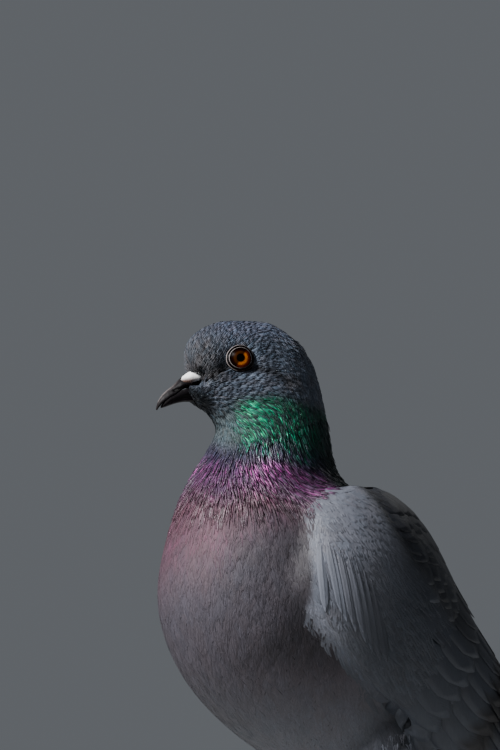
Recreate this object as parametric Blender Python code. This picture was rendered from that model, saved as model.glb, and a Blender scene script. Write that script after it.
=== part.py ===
"""A feral rock pigeon at life size, standing alert on both feet, its head turned to its right.

The bird faces -Y and its left side is at +X.  Head, neck, trunk and tail are one form, lofted
through named sections and parted by thin cuts.  Wings and thighs are their own forms, cut back
to lie just clear of the body.  All sizes are in millimetres until a mesh is made.
"""

import math
from collections import namedtuple

import bmesh
import bpy
import numpy as np
from mathutils import Matrix, Vector

MM = 0.001
GAP = 0.3  # left open where two parts meet
CLEARANCE = 0.42  # how far a cutter stands outside the part that it clears
FLOOR = 0.0

# The neck turns the head about an upright axis; a minus sign is towards the bird's right.
HEAD_TURN = math.radians(-26.0)
NECK_AXIS_Y = -22.0

# One section of the body: its dorsal and ventral points in the (y, z) plane of symmetry, its
# half width, how far up it is widest, and its share of the head's turn.
Section = namedtuple("Section", "dorsal ventral half_width waist turn")
BODY = {
    "face": Section((-50.4, 222.9), (-48.0, 212.9), 4.6, 0.45, 1.0),
    "forehead": Section((-51.5, 231.5), (-47.2, 211.6), 8.6, 0.42, 1.0),
    "brow": Section((-43.5, 239.6), (-44.2, 209.8), 11.4, 0.42, 1.0),
    "crown": Section((-30.0, 241.0), (-41.6, 206.6), 13.0, 0.42, 1.0),
    "occiput": Section((-10.4, 232.5), (-40.2, 202.2), 14.8, 0.44, 1.0),
    "nape": Section((-2.6, 211.5), (-43.4, 196.0), 17.6, 0.48, 0.8),
    "neck": Section((0.0, 196.5), (-49.0, 187.5), 21.0, 0.52, 0.35),
    "collar": Section((2.0, 188.0), (-54.2, 179.0), 24.5, 0.54, 0.1),
    "shoulder": Section((9.5, 180.5), (-57.3, 169.0), 32.0, 0.56, 0.0),
    "breast": Section((31.0, 168.5), (-62.5, 145.0), 40.5, 0.58, 0.0),
    "girdle": Section((46.0, 145.0), (-54.0, 119.5), 43.5, 0.60, 0.0),
    "belly": Section((61.5, 122.0), (-31.0, 98.0), 41.0, 0.60, 0.0),
    "loin": Section((75.0, 103.0), (0.0, 83.5), 34.5, 0.58, 0.0),
    "vent": Section((83.5, 93.0), (40.0, 77.5), 25.5, 0.55, 0.0),
    "root": Section((88.5, 87.5), (67.0, 75.0), 17.5, 0.52, 0.0),
}
BODY_SIDES = 28
BODY_STEPS = 3  # rings from one section to the next

TAIL = [
    Section((88.8, 87.2), (67.3, 74.7), 17.5, 0.52, 0.0),
    Section((99.5, 77.0), (84.5, 64.0), 19.5, 0.52, 0.0),
    Section((112.0, 65.0), (104.0, 55.0), 21.5, 0.50, 0.0),
    Section((129.0, 50.0), (125.0, 44.0), 23.5, 0.50, 0.0),
    Section((146.0, 35.2), (143.6, 31.8), 25.0, 0.50, 0.0),
    Section((158.0, 25.0), (156.3, 22.6), 24.5, 0.50, 0.0),
    Section((165.5, 18.5), (164.3, 16.8), 19.0, 0.50, 0.0),
]
TAIL_SIDES = 20
TAIL_STEPS = 2

# The bill: its ridge above the line of the mouth, and the lower jaw below that line.
UPPER_BILL = [
    Section((-50.9, 220.6), (-49.6, 217.0), 4.3, 0.05, 1.0),
    Section((-54.2, 219.5), (-53.4, 215.9), 3.8, 0.05, 1.0),
    Section((-57.0, 217.8), (-56.4, 214.5), 3.1, 0.06, 1.0),
    Section((-60.5, 215.1), (-59.9, 212.4), 2.2, 0.10, 1.0),
    Section((-62.3, 212.3), (-61.7, 210.5), 1.2, 0.40, 1.0),
    Section((-62.9, 209.8), (-62.5, 209.3), 0.4, 0.50, 1.0),
]
LOWER_BILL = [
    Section((-49.5, 216.7), (-48.6, 212.7), 4.2, 0.95, 1.0),
    Section((-53.3, 215.6), (-52.5, 212.6), 3.6, 0.95, 1.0),
    Section((-56.3, 214.2), (-56.0, 211.8), 2.9, 0.94, 1.0),
    Section((-59.7, 212.1), (-59.5, 210.6), 1.9, 0.90, 1.0),
    Section((-61.2, 210.7), (-61.0, 210.2), 0.5, 0.50, 1.0),
]
BILL_SIDES = 14
BILL_STEPS = 2

CERE_CENTRE = (1.5, -51.6, 220.7)  # of the left one of its two lumps
CERE_HALF_SIZES = (2.3, 3.3, 1.9)

EYE_RADIUS = 5.6
EYE_CENTRE = (8.2, -34.4, 226.4)
EYE_SEGMENTS = 16

# One section of the left wing: its upper edge by the back, its lower edge over the flank, how
# far it bows out between them, and its thickness.
WingSection = namedtuple("WingSection", "upper lower bow thickness")
WING = [
    WingSection((30.5, -28.0, 175.5), (37.0, -38.0, 145.0), 4.5, 4.0),
    WingSection((31.0, -14.0, 182.3), (40.5, -31.0, 132.0), 8.0, 8.0),
    WingSection((30.5, 5.0, 181.8), (41.5, -17.0, 118.0), 11.0, 9.0),
    WingSection((29.5, 22.0, 171.0), (41.5, -2.0, 106.0), 12.0, 8.5),
    WingSection((25.5, 36.0, 152.5), (40.0, 15.0, 95.0), 12.5, 7.5),
    WingSection((21.0, 53.5, 132.0), (37.5, 34.0, 84.5), 11.5, 6.0),
    WingSection((17.5, 72.0, 112.0), (34.0, 53.0, 74.0), 9.5, 5.0),
    WingSection((14.5, 91.0, 95.0), (29.5, 73.0, 66.0), 7.5, 4.0),
    WingSection((12.0, 108.0, 79.0), (24.5, 93.0, 58.5), 5.5, 3.2),
    WingSection((9.0, 124.0, 66.0), (22.0, 114.0, 58.0), 3.5, 2.6),
    WingSection((6.0, 138.0, 53.0), (18.0, 131.0, 49.0), 2.0, 2.0),
    WingSection((5.0, 149.0, 39.5), (12.0, 147.0, 38.0), 0.5, 1.4),
]
WING_EDGE = 0.8  # thickness along both edges
WING_STEPS = 2
WING_ACROSS = 8  # faces from the upper edge to the lower one
FLIGHT_FROM = 6  # the section where the flight feathers leave the coverts
FLIGHT_PARTING = 0.01  # of a span, on each side of that section

# The left leg, down to the middle of the foot.
FOOT = (22.0, 9.0)
ANKLE = (22.0, 21.0, 36.0)
THIGH_PATH = [(21.0, 12.0, 99.0), (23.0, 14.0, 81.0), (24.0, 18.0, 63.0), (23.0, 22.0, 48.0)]
THIGH_RADII = [17.0, 15.5, 11.0, 6.3]
ANKLE_RADIUS = 3.3
ANKLE_LENGTH = 4.0  # in line with the shank
SHANK_RADII = [3.1, 2.2, 2.1, 2.1, 2.6]
THIGH_SIDES = 16
SHANK_SIDES = 12

# Each toe: its length, and its angle outwards from straight ahead.
TOES = {
    "middle": (27.0, math.radians(6.0)),
    "inner": (20.0, math.radians(-31.0)),
    "outer": (21.0, math.radians(45.0)),
    "hind": (14.0, math.radians(186.0)),
}
TOE_RADIUS = 2.4
TOE_TAPER = 0.78  # of that radius, at the tip
TOE_SINK = 0.64  # height of its middle line, of its radius, which leaves a flat sole
TOE_SIDES = 8
PALM_REACH = 9.0  # how far the palm carries each toe's root
PALM_RADIUS = 3.5
PALM_HEIGHT = 2.6
PALM_SIDES = 12
CLAW_LENGTH = 6.5
CLAW_RADIUS = 1.3
CLAW_HEIGHT = 1.75
CLAW_ARCH = 0.5
CLAW_DROP = 1.15
CLAW_TIP_RADIUS = 0.4
CLAW_KNOTS = 4

# Base colour, roughness.
FINISHES = {
    "head_slate": ((0.060, 0.070, 0.085), 0.65),
    "neck_green": ((0.030, 0.110, 0.075), 0.40),
    "breast_mauve": ((0.150, 0.105, 0.130), 0.60),
    "wing_grey": ((0.240, 0.260, 0.290), 0.65),
    "flight_dark": ((0.050, 0.052, 0.060), 0.55),
    "tail_grey": ((0.130, 0.140, 0.160), 0.60),
    "bill_horn": ((0.020, 0.020, 0.022), 0.35),
    "cere_white": ((0.720, 0.690, 0.640), 0.70),
    "eye_orange": ((0.550, 0.140, 0.010), 0.08),
    "leg_red": ((0.420, 0.110, 0.090), 0.55),
    "claw_dark": ((0.030, 0.026, 0.024), 0.40),
}


def clear_scene():
    """Start from nothing, so that the script gives the same bird each time."""
    for thing in list(bpy.data.objects):
        bpy.data.objects.remove(thing, do_unlink=True)


def new_collection(name):
    """A collection of its own under the scene."""
    collection = bpy.data.collections.new(name)
    bpy.context.scene.collection.children.link(collection)
    return collection


def finish(name):
    """The Principled material of one finish, made once."""
    if name in bpy.data.materials:
        return bpy.data.materials[name]
    colour, roughness = FINISHES[name]
    material = bpy.data.materials.new(name)
    material.use_nodes = True
    shader = material.node_tree.nodes["Principled BSDF"]
    shader.inputs["Base Color"].default_value = (*colour, 1.0)
    shader.inputs["Roughness"].default_value = roughness
    shader.inputs["Metallic"].default_value = 0.0
    return material


# --- smooth curves and sections ----------------------------------------------------------


def slope_at(knots, rows, index):
    """The slope of a smooth curve at one of its own rows."""
    before = max(index - 1, 0)
    after = min(index + 1, len(rows) - 1)
    if before == index or after == index:
        return (rows[after] - rows[before]) / (knots[after] - knots[before])
    step_in = knots[index] - knots[before]
    step_out = knots[after] - knots[index]
    slope_in = (rows[index] - rows[before]) / step_in
    slope_out = (rows[after] - rows[index]) / step_out
    return (slope_in * step_out + slope_out * step_in) / (step_in + step_out)


def between(knots, rows, index, part):
    """The row at a part of the way from one row to the next, on a smooth curve through all."""
    step = knots[index + 1] - knots[index]
    start, end = rows[index], rows[index + 1]
    leave = slope_at(knots, rows, index) * step
    arrive = slope_at(knots, rows, index + 1) * step
    square, cube = part**2, part**3
    return (
        start * (2 * cube - 3 * square + 1)
        + leave * (cube - 2 * square + part)
        + end * (3 * square - 2 * cube)
        + arrive * (cube - square)
    )


def smooth_rows(rows, centres, steps):
    """Rows along a smooth curve through the given ones, spaced by the way between centres."""
    rows = [np.array(row, dtype=float) for row in rows]
    knots = [0.0]
    for here, there in zip(centres, centres[1:]):
        knots.append(knots[-1] + (Vector(there) - Vector(here)).length)
    result = []
    for index in range(len(rows) - 1):
        result += [between(knots, rows, index, step / steps) for step in range(steps)]
    result.append(rows[-1])
    return result


def section_rows(sections, steps):
    """Body sections as rows of numbers, with more of them smoothly in between."""
    rows = []
    centres = []
    for section in sections:
        rows.append([*section.dorsal, *section.ventral, *section[2:]])
        middle = (Vector(section.dorsal) + Vector(section.ventral)) / 2
        centres.append((0.0, *middle))
    return smooth_rows(rows, centres, steps)


def turned(point, share):
    """A point carried round the neck's axis by its share of the head's turn."""
    axis = Vector((0.0, NECK_AXIS_Y, 0.0))
    return Matrix.Rotation(HEAD_TURN * share, 3, "Z") @ (Vector(point) - axis) + axis


def section_ring(row, sides, shift=0.0):
    """The outline of one section, moved along its own normal by a shift towards the tail."""
    dorsal = Vector((0.0, row[0], row[1]))
    ventral = Vector((0.0, row[2], row[3]))
    half_width, waist, turn = row[4:]
    centre = ventral.lerp(dorsal, waist)
    normal = (dorsal - ventral).cross(Vector((1.0, 0.0, 0.0))).normalized()
    if normal.z > 0.0:
        normal.negate()
    points = []
    for side in range(sides):
        angle = 2 * math.pi * side / sides
        height = math.cos(angle)
        reach = (dorsal - centre) if height > 0.0 else (centre - ventral)
        point = centre + reach * height + normal * shift
        point.x += half_width * math.sin(angle)
        points.append(turned(point, turn))
    return points


def wing_ring(row, side):
    """The crescent outline of one wing section: out along its face, back along its lining."""
    upper, lower = Vector(row[:3]), Vector(row[3:6])
    bow, thickness = row[6:]
    chord = (lower - upper).normalized()
    outward = Vector((1.0, 0.0, 0.0))
    outward = (outward - chord * outward.dot(chord)).normalized()
    face, lining = [], []
    for step in range(WING_ACROSS + 1):
        along = 0.5 - 0.5 * math.cos(math.pi * step / WING_ACROSS)
        hump = 4 * along * (1 - along)
        half = (WING_EDGE + (thickness - WING_EDGE) * math.sqrt(hump)) / 2
        middle = upper.lerp(lower, along) + outward * bow * hump
        face.append(middle + outward * half)
        lining.append(middle - outward * half)
    ring = face + lining[::-1]
    return [Vector((point.x * side, point.y, point.z)) for point in ring]


# --- meshes and objects ------------------------------------------------------------------


def put(name, mesh_data, collection, finish_name=None):
    """A mesh as a named object of a collection, smooth but for its real edges."""
    thing = bpy.data.objects.new(name, mesh_data)
    collection.objects.link(thing)
    if finish_name:
        mesh_data.materials.append(finish(finish_name))
        mesh_data.shade_smooth()
        mesh_data.set_sharp_from_angle(angle=math.radians(50))
    return thing


def from_bmesh(name, form, collection, finish_name=None):
    """Close a bmesh off as an object with its faces pointing outwards."""
    bmesh.ops.recalc_face_normals(form, faces=form.faces)
    mesh_data = bpy.data.meshes.new(name)
    form.to_mesh(mesh_data)
    form.free()
    return put(name, mesh_data, collection, finish_name)


def loft(name, rings, collection, finish_name=None, grow=0.0):
    """A closed body through a row of rings, moved out by grow on every side."""
    form = bmesh.new()
    rows = [[form.verts.new(point * MM) for point in ring] for ring in rings]
    for near, far in zip(rows, rows[1:]):
        for here in range(len(near)):
            after = (here + 1) % len(near)
            form.faces.new((near[here], near[after], far[after], far[here]))
    form.faces.new(rows[0])
    form.faces.new(rows[-1])
    if grow:
        swell(form, grow)
    return from_bmesh(name, form, collection, finish_name)


def swell(form, amount):
    """Move a closed form's skin outwards by one distance."""
    bmesh.ops.recalc_face_normals(form, faces=form.faces)
    moves = {v: v.normal * amount * MM * min(v.calc_shell_factor(), 1.5) for v in form.verts}
    for vert, move in moves.items():
        vert.co += move


def tube(name, points, radii, sides, collection, finish_name=None):
    """A tapering round limb along a smooth path, as a closed mesh."""
    curve = bpy.data.curves.new(name, "CURVE")
    curve.dimensions = "3D"
    curve.bevel_depth = MM
    curve.bevel_resolution = sides // 2 - 2
    curve.use_fill_caps = True
    spline = curve.splines.new("POLY")
    spline.points.add(len(points) - 1)
    for knot, point, radius in zip(spline.points, points, radii):
        knot.co = (*(Vector(point) * MM), 1.0)
        knot.radius = radius
    carrier = bpy.data.objects.new(name + "_path", curve)
    collection.objects.link(carrier)
    bpy.context.view_layer.update()
    evaluated = carrier.evaluated_get(bpy.context.evaluated_depsgraph_get())
    plain = bpy.data.meshes.new_from_object(evaluated)
    form = bmesh.new()
    form.from_mesh(plain)
    bpy.data.objects.remove(carrier, do_unlink=True)
    bpy.data.meshes.remove(plain)
    bmesh.ops.remove_doubles(form, verts=form.verts, dist=0.00001)
    return from_bmesh(name, form, collection, finish_name)


def ball(name, centre, half_sizes, detail, collection, finish_name=None):
    """An ellipsoid that belongs to the head and turns with it."""
    form = bmesh.new()
    bmesh.ops.create_uvsphere(form, u_segments=detail, v_segments=detail * 2 // 3, radius=1.0)
    for vert in form.verts:
        point = Vector(c + v * h for c, v, h in zip(centre, vert.co, half_sizes))
        vert.co = turned(point, 1.0) * MM
    return from_bmesh(name, form, collection, finish_name)


def combine(thing, other, operation):
    """Join another object to this one or cut it away, and keep the other as a guide."""
    other.hide_render = True
    other.display_type = "WIRE"
    modifier = thing.modifiers.new(operation.title() + " " + other.name, "BOOLEAN")
    modifier.operation = operation
    modifier.solver = "EXACT"
    modifier.object = other


def apply_combines(thing):
    """Fix an object's joins and cuts in its own mesh."""
    bpy.context.view_layer.update()
    evaluated = thing.evaluated_get(bpy.context.evaluated_depsgraph_get())
    mesh_data = bpy.data.meshes.new_from_object(evaluated)
    thing.modifiers.clear()
    thing.data = mesh_data


# --- the bird ----------------------------------------------------------------------------


def body_rings(first, last, rows):
    """The rings from one named section to another, drawn back a little from each cut."""
    names = list(BODY)
    start = names.index(first) * BODY_STEPS
    stop = names.index(last) * BODY_STEPS
    rings = [section_ring(row, BODY_SIDES) for row in rows[start : stop + 1]]
    if start:
        rings[0] = section_ring(rows[start], BODY_SIDES, GAP / 2)
    if stop < len(rows) - 1:
        rings[-1] = section_ring(rows[stop], BODY_SIDES, -GAP / 2)
    return rings


def build_body(parts, cutters):
    """Head, neck, trunk and tail, and the swollen copies that clear their neighbours."""
    rows = section_rows(list(BODY.values()), BODY_STEPS)
    head = loft("head", body_rings("face", "nape", rows), parts, "head_slate")
    loft("neck", body_rings("nape", "shoulder", rows), parts, "neck_green")
    loft("trunk", body_rings("shoulder", "root", rows), parts, "breast_mauve")
    tail_rings = [section_ring(row, TAIL_SIDES) for row in section_rows(TAIL, TAIL_STEPS)]
    loft("tail", tail_rings, parts, "tail_grey")
    whole = [section_ring(row, BODY_SIDES) for row in rows]
    body_cutter = loft("body_clearance", whole, cutters, grow=CLEARANCE)
    tail_cutter = loft("tail_clearance", tail_rings, cutters, grow=CLEARANCE)
    return head, body_cutter, tail_cutter


def build_bill(parts, cutters, body_cutter):
    """The two halves of the bill, and the bare white cere over its root."""
    upper_rings = [section_ring(row, BILL_SIDES) for row in section_rows(UPPER_BILL, BILL_STEPS)]
    lower_rings = [section_ring(row, BILL_SIDES) for row in section_rows(LOWER_BILL, BILL_STEPS)]
    upper = loft("bill_upper", upper_rings, parts, "bill_horn")
    lower = loft("bill_lower", lower_rings, parts, "bill_horn")
    for half in (upper, lower):
        combine(half, body_cutter, "DIFFERENCE")
    cere = ball("cere", CERE_CENTRE, CERE_HALF_SIZES, 12, parts, "cere_white")
    across = (-CERE_CENTRE[0], *CERE_CENTRE[1:])
    combine(cere, ball("cere_right_lump", across, CERE_HALF_SIZES, 12, cutters), "UNION")
    combine(cere, loft("bill_clearance", upper_rings, cutters, grow=CLEARANCE), "DIFFERENCE")
    combine(cere, body_cutter, "DIFFERENCE")


def build_eyes(head, parts, cutters):
    """Two eyeballs, each in a socket of the head."""
    for side_name, side in (("left", 1), ("right", -1)):
        centre = (EYE_CENTRE[0] * side, *EYE_CENTRE[1:])
        ball("eye_" + side_name, centre, [EYE_RADIUS] * 3, EYE_SEGMENTS, parts, "eye_orange")
        socket = ball("socket_" + side_name, centre, [EYE_RADIUS + GAP] * 3, EYE_SEGMENTS, cutters)
        combine(head, socket, "DIFFERENCE")


def wing_rows():
    """Wing sections as rows of numbers, with more of them smoothly in between."""
    rows = [[*s.upper, *s.lower, s.bow, s.thickness] for s in WING]
    centres = [(Vector(s.upper) + Vector(s.lower)) / 2 for s in WING]
    return smooth_rows(rows, centres, WING_STEPS)


def build_wing(side_name, side, parts, body_cutter, tail_cutter):
    """A folded wing: the covert part on the body, and the flight feathers over the tail."""
    rows = wing_rows()
    parting = FLIGHT_FROM * WING_STEPS
    before = rows[parting] + (rows[parting - 1] - rows[parting]) * FLIGHT_PARTING * WING_STEPS
    after = rows[parting] + (rows[parting + 1] - rows[parting]) * FLIGHT_PARTING * WING_STEPS
    covert_rings = [wing_ring(row, side) for row in rows[:parting] + [before]]
    flight_rings = [wing_ring(row, side) for row in [after] + rows[parting + 1 :]]
    wing = loft("wing_" + side_name, covert_rings, parts, "wing_grey")
    combine(wing, body_cutter, "DIFFERENCE")
    flight = loft("flight_" + side_name, flight_rings, parts, "flight_dark")
    combine(flight, body_cutter, "DIFFERENCE")
    combine(flight, tail_cutter, "DIFFERENCE")


def toe_point(side, angle, distance, height):
    """A place above the floor, out along one toe's direction from the middle of the foot."""
    x = FOOT[0] + distance * math.sin(angle)
    y = FOOT[1] - distance * math.cos(angle)
    return Vector((x * side, y, height))


def toe_tube(name, side, toe, start, stop, collection, finish_name=None):
    """A toe, or its root, between two distances from the middle of the foot."""
    length, angle = TOES[toe]
    count = max(2, round((stop - start) / 4.0)) + 1
    points, radii = [], []
    for knot in range(count):
        distance = start + (stop - start) * knot / (count - 1)
        radius = TOE_RADIUS * (1 - (1 - TOE_TAPER) * distance / length)
        points.append(toe_point(side, angle, distance, radius * TOE_SINK))
        radii.append(radius)
    return tube(name, points, radii, TOE_SIDES, collection, finish_name)


def flatten_sole(thing):
    """Press what lies below the floor up to it, which makes the flat soles."""
    for vert in thing.data.vertices:
        vert.co.z = max(vert.co.z, FLOOR)


def build_claw(name, side, toe, parts):
    """A claw that leaves the toe's tip, arches a little and ends just above the floor."""
    length, angle = TOES[toe]
    points, radii = [], []
    for step in range(CLAW_KNOTS):
        part = step / (CLAW_KNOTS - 1)
        height = CLAW_HEIGHT + CLAW_ARCH * math.sin(math.pi * part) - CLAW_DROP * part**2
        points.append(toe_point(side, angle, length + GAP + CLAW_LENGTH * part, height))
        radii.append(CLAW_RADIUS + (CLAW_TIP_RADIUS - CLAW_RADIUS) * part)
    tube(name, points, radii, TOE_SIDES, parts, "claw_dark")


def build_leg(side_name, side, parts, cutters, body_cutter):
    """A feathered thigh, a bare shank and a foot with its toes and claws."""
    across = Vector((side, 1.0, 1.0))
    sole = Vector((*FOOT, PALM_HEIGHT))
    ankle = Vector(ANKLE)
    down = (sole - ankle).normalized()
    path = [Vector(point) for point in THIGH_PATH] + [ankle - down * ANKLE_LENGTH, ankle]
    radii = THIGH_RADII + [ANKLE_RADIUS * 1.2, ANKLE_RADIUS]
    rows = smooth_rows([[*p, r] for p, r in zip(path, radii)], path, 2)
    points = [Vector(row[:3]) * across for row in rows]
    widths = [row[3] for row in rows]
    thigh = tube("thigh_" + side_name, points, widths, THIGH_SIDES, parts, "breast_mauve")
    combine(thigh, body_cutter, "DIFFERENCE")

    top = ankle + down * GAP
    bottom = sole - down * (PALM_RADIUS + GAP)
    last = len(SHANK_RADII) - 1
    points = [top.lerp(bottom, knot / last) * across for knot in range(last + 1)]
    tube("shank_" + side_name, points, SHANK_RADII, SHANK_SIDES, parts, "leg_red")

    form = bmesh.new()
    bmesh.ops.create_uvsphere(form, u_segments=PALM_SIDES, v_segments=8, radius=PALM_RADIUS * MM)
    bmesh.ops.translate(form, verts=form.verts, vec=sole * across * MM)
    foot = from_bmesh("foot_" + side_name, form, parts, "leg_red")
    for toe, (length, _angle) in TOES.items():
        root_name = "_".join((toe, "root", side_name))
        combine(foot, toe_tube(root_name, side, toe, 0.0, PALM_REACH, cutters), "UNION")
        toe_name = "_".join(("toe", toe, side_name))
        flatten_sole(toe_tube(toe_name, side, toe, PALM_REACH + GAP, length, parts, "leg_red"))
        build_claw("_".join(("claw", toe, side_name)), side, toe, parts)
    apply_combines(foot)
    flatten_sole(foot)


def stand_on_origin(parts):
    """Hang every part on one empty that brings the middle of the bird's box over the origin."""
    bpy.context.view_layer.update()
    graph = bpy.context.evaluated_depsgraph_get()
    corners = []
    for thing in parts.objects:
        evaluated = thing.evaluated_get(graph)
        corners += [evaluated.matrix_world @ Vector(corner) for corner in evaluated.bound_box]
    low = [min(corner[axis] for corner in corners) for axis in range(3)]
    high = [max(corner[axis] for corner in corners) for axis in range(3)]
    stance = bpy.data.objects.new("pigeon_stance", None)
    parts.objects.link(stance)
    stance.location = (-(low[0] + high[0]) / 2, -(low[1] + high[1]) / 2, -low[2])
    for collection in bpy.context.scene.collection.children:
        for thing in collection.objects:
            if thing is not stance:
                thing.parent = stance


def main():
    clear_scene()
    parts = new_collection("pigeon")
    cutters = new_collection("cutters")
    head, body_cutter, tail_cutter = build_body(parts, cutters)
    build_eyes(head, parts, cutters)
    build_bill(parts, cutters, body_cutter)
    for side_name, side in (("left", 1), ("right", -1)):
        build_wing(side_name, side, parts, body_cutter, tail_cutter)
        build_leg(side_name, side, parts, cutters, body_cutter)
    stand_on_origin(parts)


main()
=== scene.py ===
# %% [markdown]
# # A rock pigeon in feather
# The bird stands alert with its head turned to its right.  The solid model gives its size, its
# outline and its stance.  This script gives it what is seen: one skin under the whole plumage,
# thousands of solid feathers laid over it, glossy eyes with their lids, a horn bill with its
# white cere, and scaled red feet.
#
# The bird faces -Y with its left side at +X.  Lengths are metres, so a millimetre has a name.

# %% Load the solid model
import math

import bmesh
import bpy
import numpy as np
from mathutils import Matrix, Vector
from mathutils.bvhtree import BVHTree


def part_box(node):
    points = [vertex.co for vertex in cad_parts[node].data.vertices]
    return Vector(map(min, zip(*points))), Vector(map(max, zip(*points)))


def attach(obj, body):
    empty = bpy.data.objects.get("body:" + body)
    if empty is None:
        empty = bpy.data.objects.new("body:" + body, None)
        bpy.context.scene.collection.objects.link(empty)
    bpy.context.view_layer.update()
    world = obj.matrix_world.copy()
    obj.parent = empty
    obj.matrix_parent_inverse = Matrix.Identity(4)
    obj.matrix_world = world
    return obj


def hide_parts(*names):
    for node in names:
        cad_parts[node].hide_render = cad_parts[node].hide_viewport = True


MM = 0.001
UP = Vector((0.0, 0.0, 1.0))
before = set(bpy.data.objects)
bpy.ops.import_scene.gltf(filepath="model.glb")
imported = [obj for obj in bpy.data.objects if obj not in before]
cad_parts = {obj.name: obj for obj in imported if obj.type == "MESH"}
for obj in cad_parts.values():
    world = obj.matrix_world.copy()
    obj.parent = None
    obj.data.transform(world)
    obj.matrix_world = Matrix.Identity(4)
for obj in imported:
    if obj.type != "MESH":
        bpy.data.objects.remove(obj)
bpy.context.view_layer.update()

# %% [markdown]
# ## The camera
# A portrait of a bird wants a long lens from far off, which keeps the bill from looking large.
# The camera looks at the bird's left side, a little from in front and from below, so it is
# placed by angles round a point next to the eye.  That point comes from the eye's solid.

# %% Place the camera
VIEW_AZIMUTH = math.radians(53.0)
VIEW_ELEVATION = math.radians(-8.0)
VIEW_DISTANCE = 1.3
VIEW_LENS = 179.0
AIM_BEHIND_EYE = 4.0 * MM
AIM_BELOW_EYE = 4.9 * MM


def middle(node):
    """The middle of a solid's box."""
    low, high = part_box(node)
    return (low + high) / 2


def add_object(name, data):
    """A new object in the scene."""
    item = bpy.data.objects.new(name, data)
    bpy.context.scene.collection.objects.link(item)
    return item


def frame_camera():
    """Aim a long lens at the side of the head."""
    flat = math.cos(VIEW_ELEVATION)
    back = Vector((math.sin(VIEW_AZIMUTH) * flat, -math.cos(VIEW_AZIMUTH) * flat, math.sin(VIEW_ELEVATION)))
    right = Vector((math.cos(VIEW_AZIMUTH), math.sin(VIEW_AZIMUTH), 0.0))
    data = bpy.data.cameras.new("portrait")
    data.lens = VIEW_LENS
    camera = add_object("portrait", data)
    aim = middle("eye_left") + right * AIM_BEHIND_EYE - back.cross(right) * AIM_BELOW_EYE
    camera.location = aim + back * VIEW_DISTANCE
    camera.rotation_euler = (-back).to_track_quat("-Z", "Y").to_euler()
    bpy.context.scene.camera = camera
    return back, right, aim


view_back, view_right, view_aim = frame_camera()
print("camera height, mm:", round(bpy.context.scene.camera.location.z / MM))

# %% [markdown]
# ## The studio
# Plumage is soft, so it needs a clear direction of light to show its layers.  One broad lamp
# stands high in front of the bird, on the bill's side, as the sun would.  A pale world fills
# the shadows, and a small lamp behind draws the edge of the back.

# %% Build the studio
FLOOR_HALF = 4.0
FLOOR_COLOUR = (0.62, 0.62, 0.60, 1.0)
FLOOR_MOTTLE = 0.97
WORLD_COLOUR = (0.70, 0.75, 0.82, 1.0)
WORLD_STRENGTH = 0.17
# Each lamp: how far to the right of the view, towards the camera and up it stands, its
# distance, its size and its power.
LAMPS = {
    "key": (-0.70, 0.40, 0.54, 1.5, 0.50, 3.35),
    "edge": (0.62, -0.95, 0.80, 1.5, 0.35, 0.05),
}
LAMP_BEAM = math.radians(34.0)  # a narrow beam keeps the pale floor from lighting the bird


def studio_material(colour):
    """The floor's paint, faintly mottled."""
    material = bpy.data.materials.new("studio_floor")
    material.use_nodes = True
    tree = material.node_tree
    shader = tree.nodes["Principled BSDF"]
    shader.inputs["Roughness"].default_value = 0.9
    noise = tree.nodes.new("ShaderNodeTexNoise")
    noise.inputs["Scale"].default_value = 3.0
    ramp = tree.nodes.new("ShaderNodeValToRGB")
    ramp.color_ramp.elements[0].color = [c * FLOOR_MOTTLE for c in colour[:3]] + [1.0]
    ramp.color_ramp.elements[1].color = colour
    tree.links.new(noise.outputs["Fac"], ramp.inputs["Fac"])
    tree.links.new(ramp.outputs["Color"], shader.inputs["Base Color"])
    return material


def made_mesh(name, form):
    """A mesh made from a bmesh, which is freed."""
    mesh = bpy.data.meshes.new(name)
    form.to_mesh(mesh)
    form.free()
    return mesh


def build_studio():
    """A pale floor, a pale world and two soft lamps."""
    form = bmesh.new()
    bmesh.ops.create_grid(form, x_segments=1, y_segments=1, size=FLOOR_HALF)
    mesh = made_mesh("studio_floor", form)
    mesh.materials.append(studio_material(FLOOR_COLOUR))
    add_object("studio_floor", mesh)

    world = bpy.data.worlds.new("studio")
    bpy.context.scene.world = world
    world.use_nodes = True
    sky = world.node_tree.nodes["Background"]
    sky.inputs["Color"].default_value = WORLD_COLOUR
    sky.inputs["Strength"].default_value = WORLD_STRENGTH

    towards = Vector((view_back.x, view_back.y, 0.0)).normalized()
    for name, (right, near, up, distance, size, power) in LAMPS.items():
        data = bpy.data.lights.new(name, "AREA")
        data.shape = "DISK"
        data.size = size
        data.energy = power
        data.spread = LAMP_BEAM
        lamp = add_object(name, data)
        way = (view_right * right + towards * near + UP * up).normalized()
        lamp.location = view_aim + way * distance
        lamp.rotation_euler = (-way).to_track_quat("-Z", "Y").to_euler()


build_studio()

# %% [markdown]
# ## The form of the plumage
# The solids are cut apart and faceted.  Feathers need one smooth surface to lie on, so copies
# of the solids are swollen a little until they overlap, fused by a voxel remesh, and smoothed.
# Plain smoothing would shrink the toes and the tail, so each smoothing step is followed by a
# slightly larger step the other way, which keeps the thickness.  The trunk and the wings are
# large, and a longer smoothing takes the flats out of them.  What it takes off the roundness
# is smoothed in turn and added back.

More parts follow.
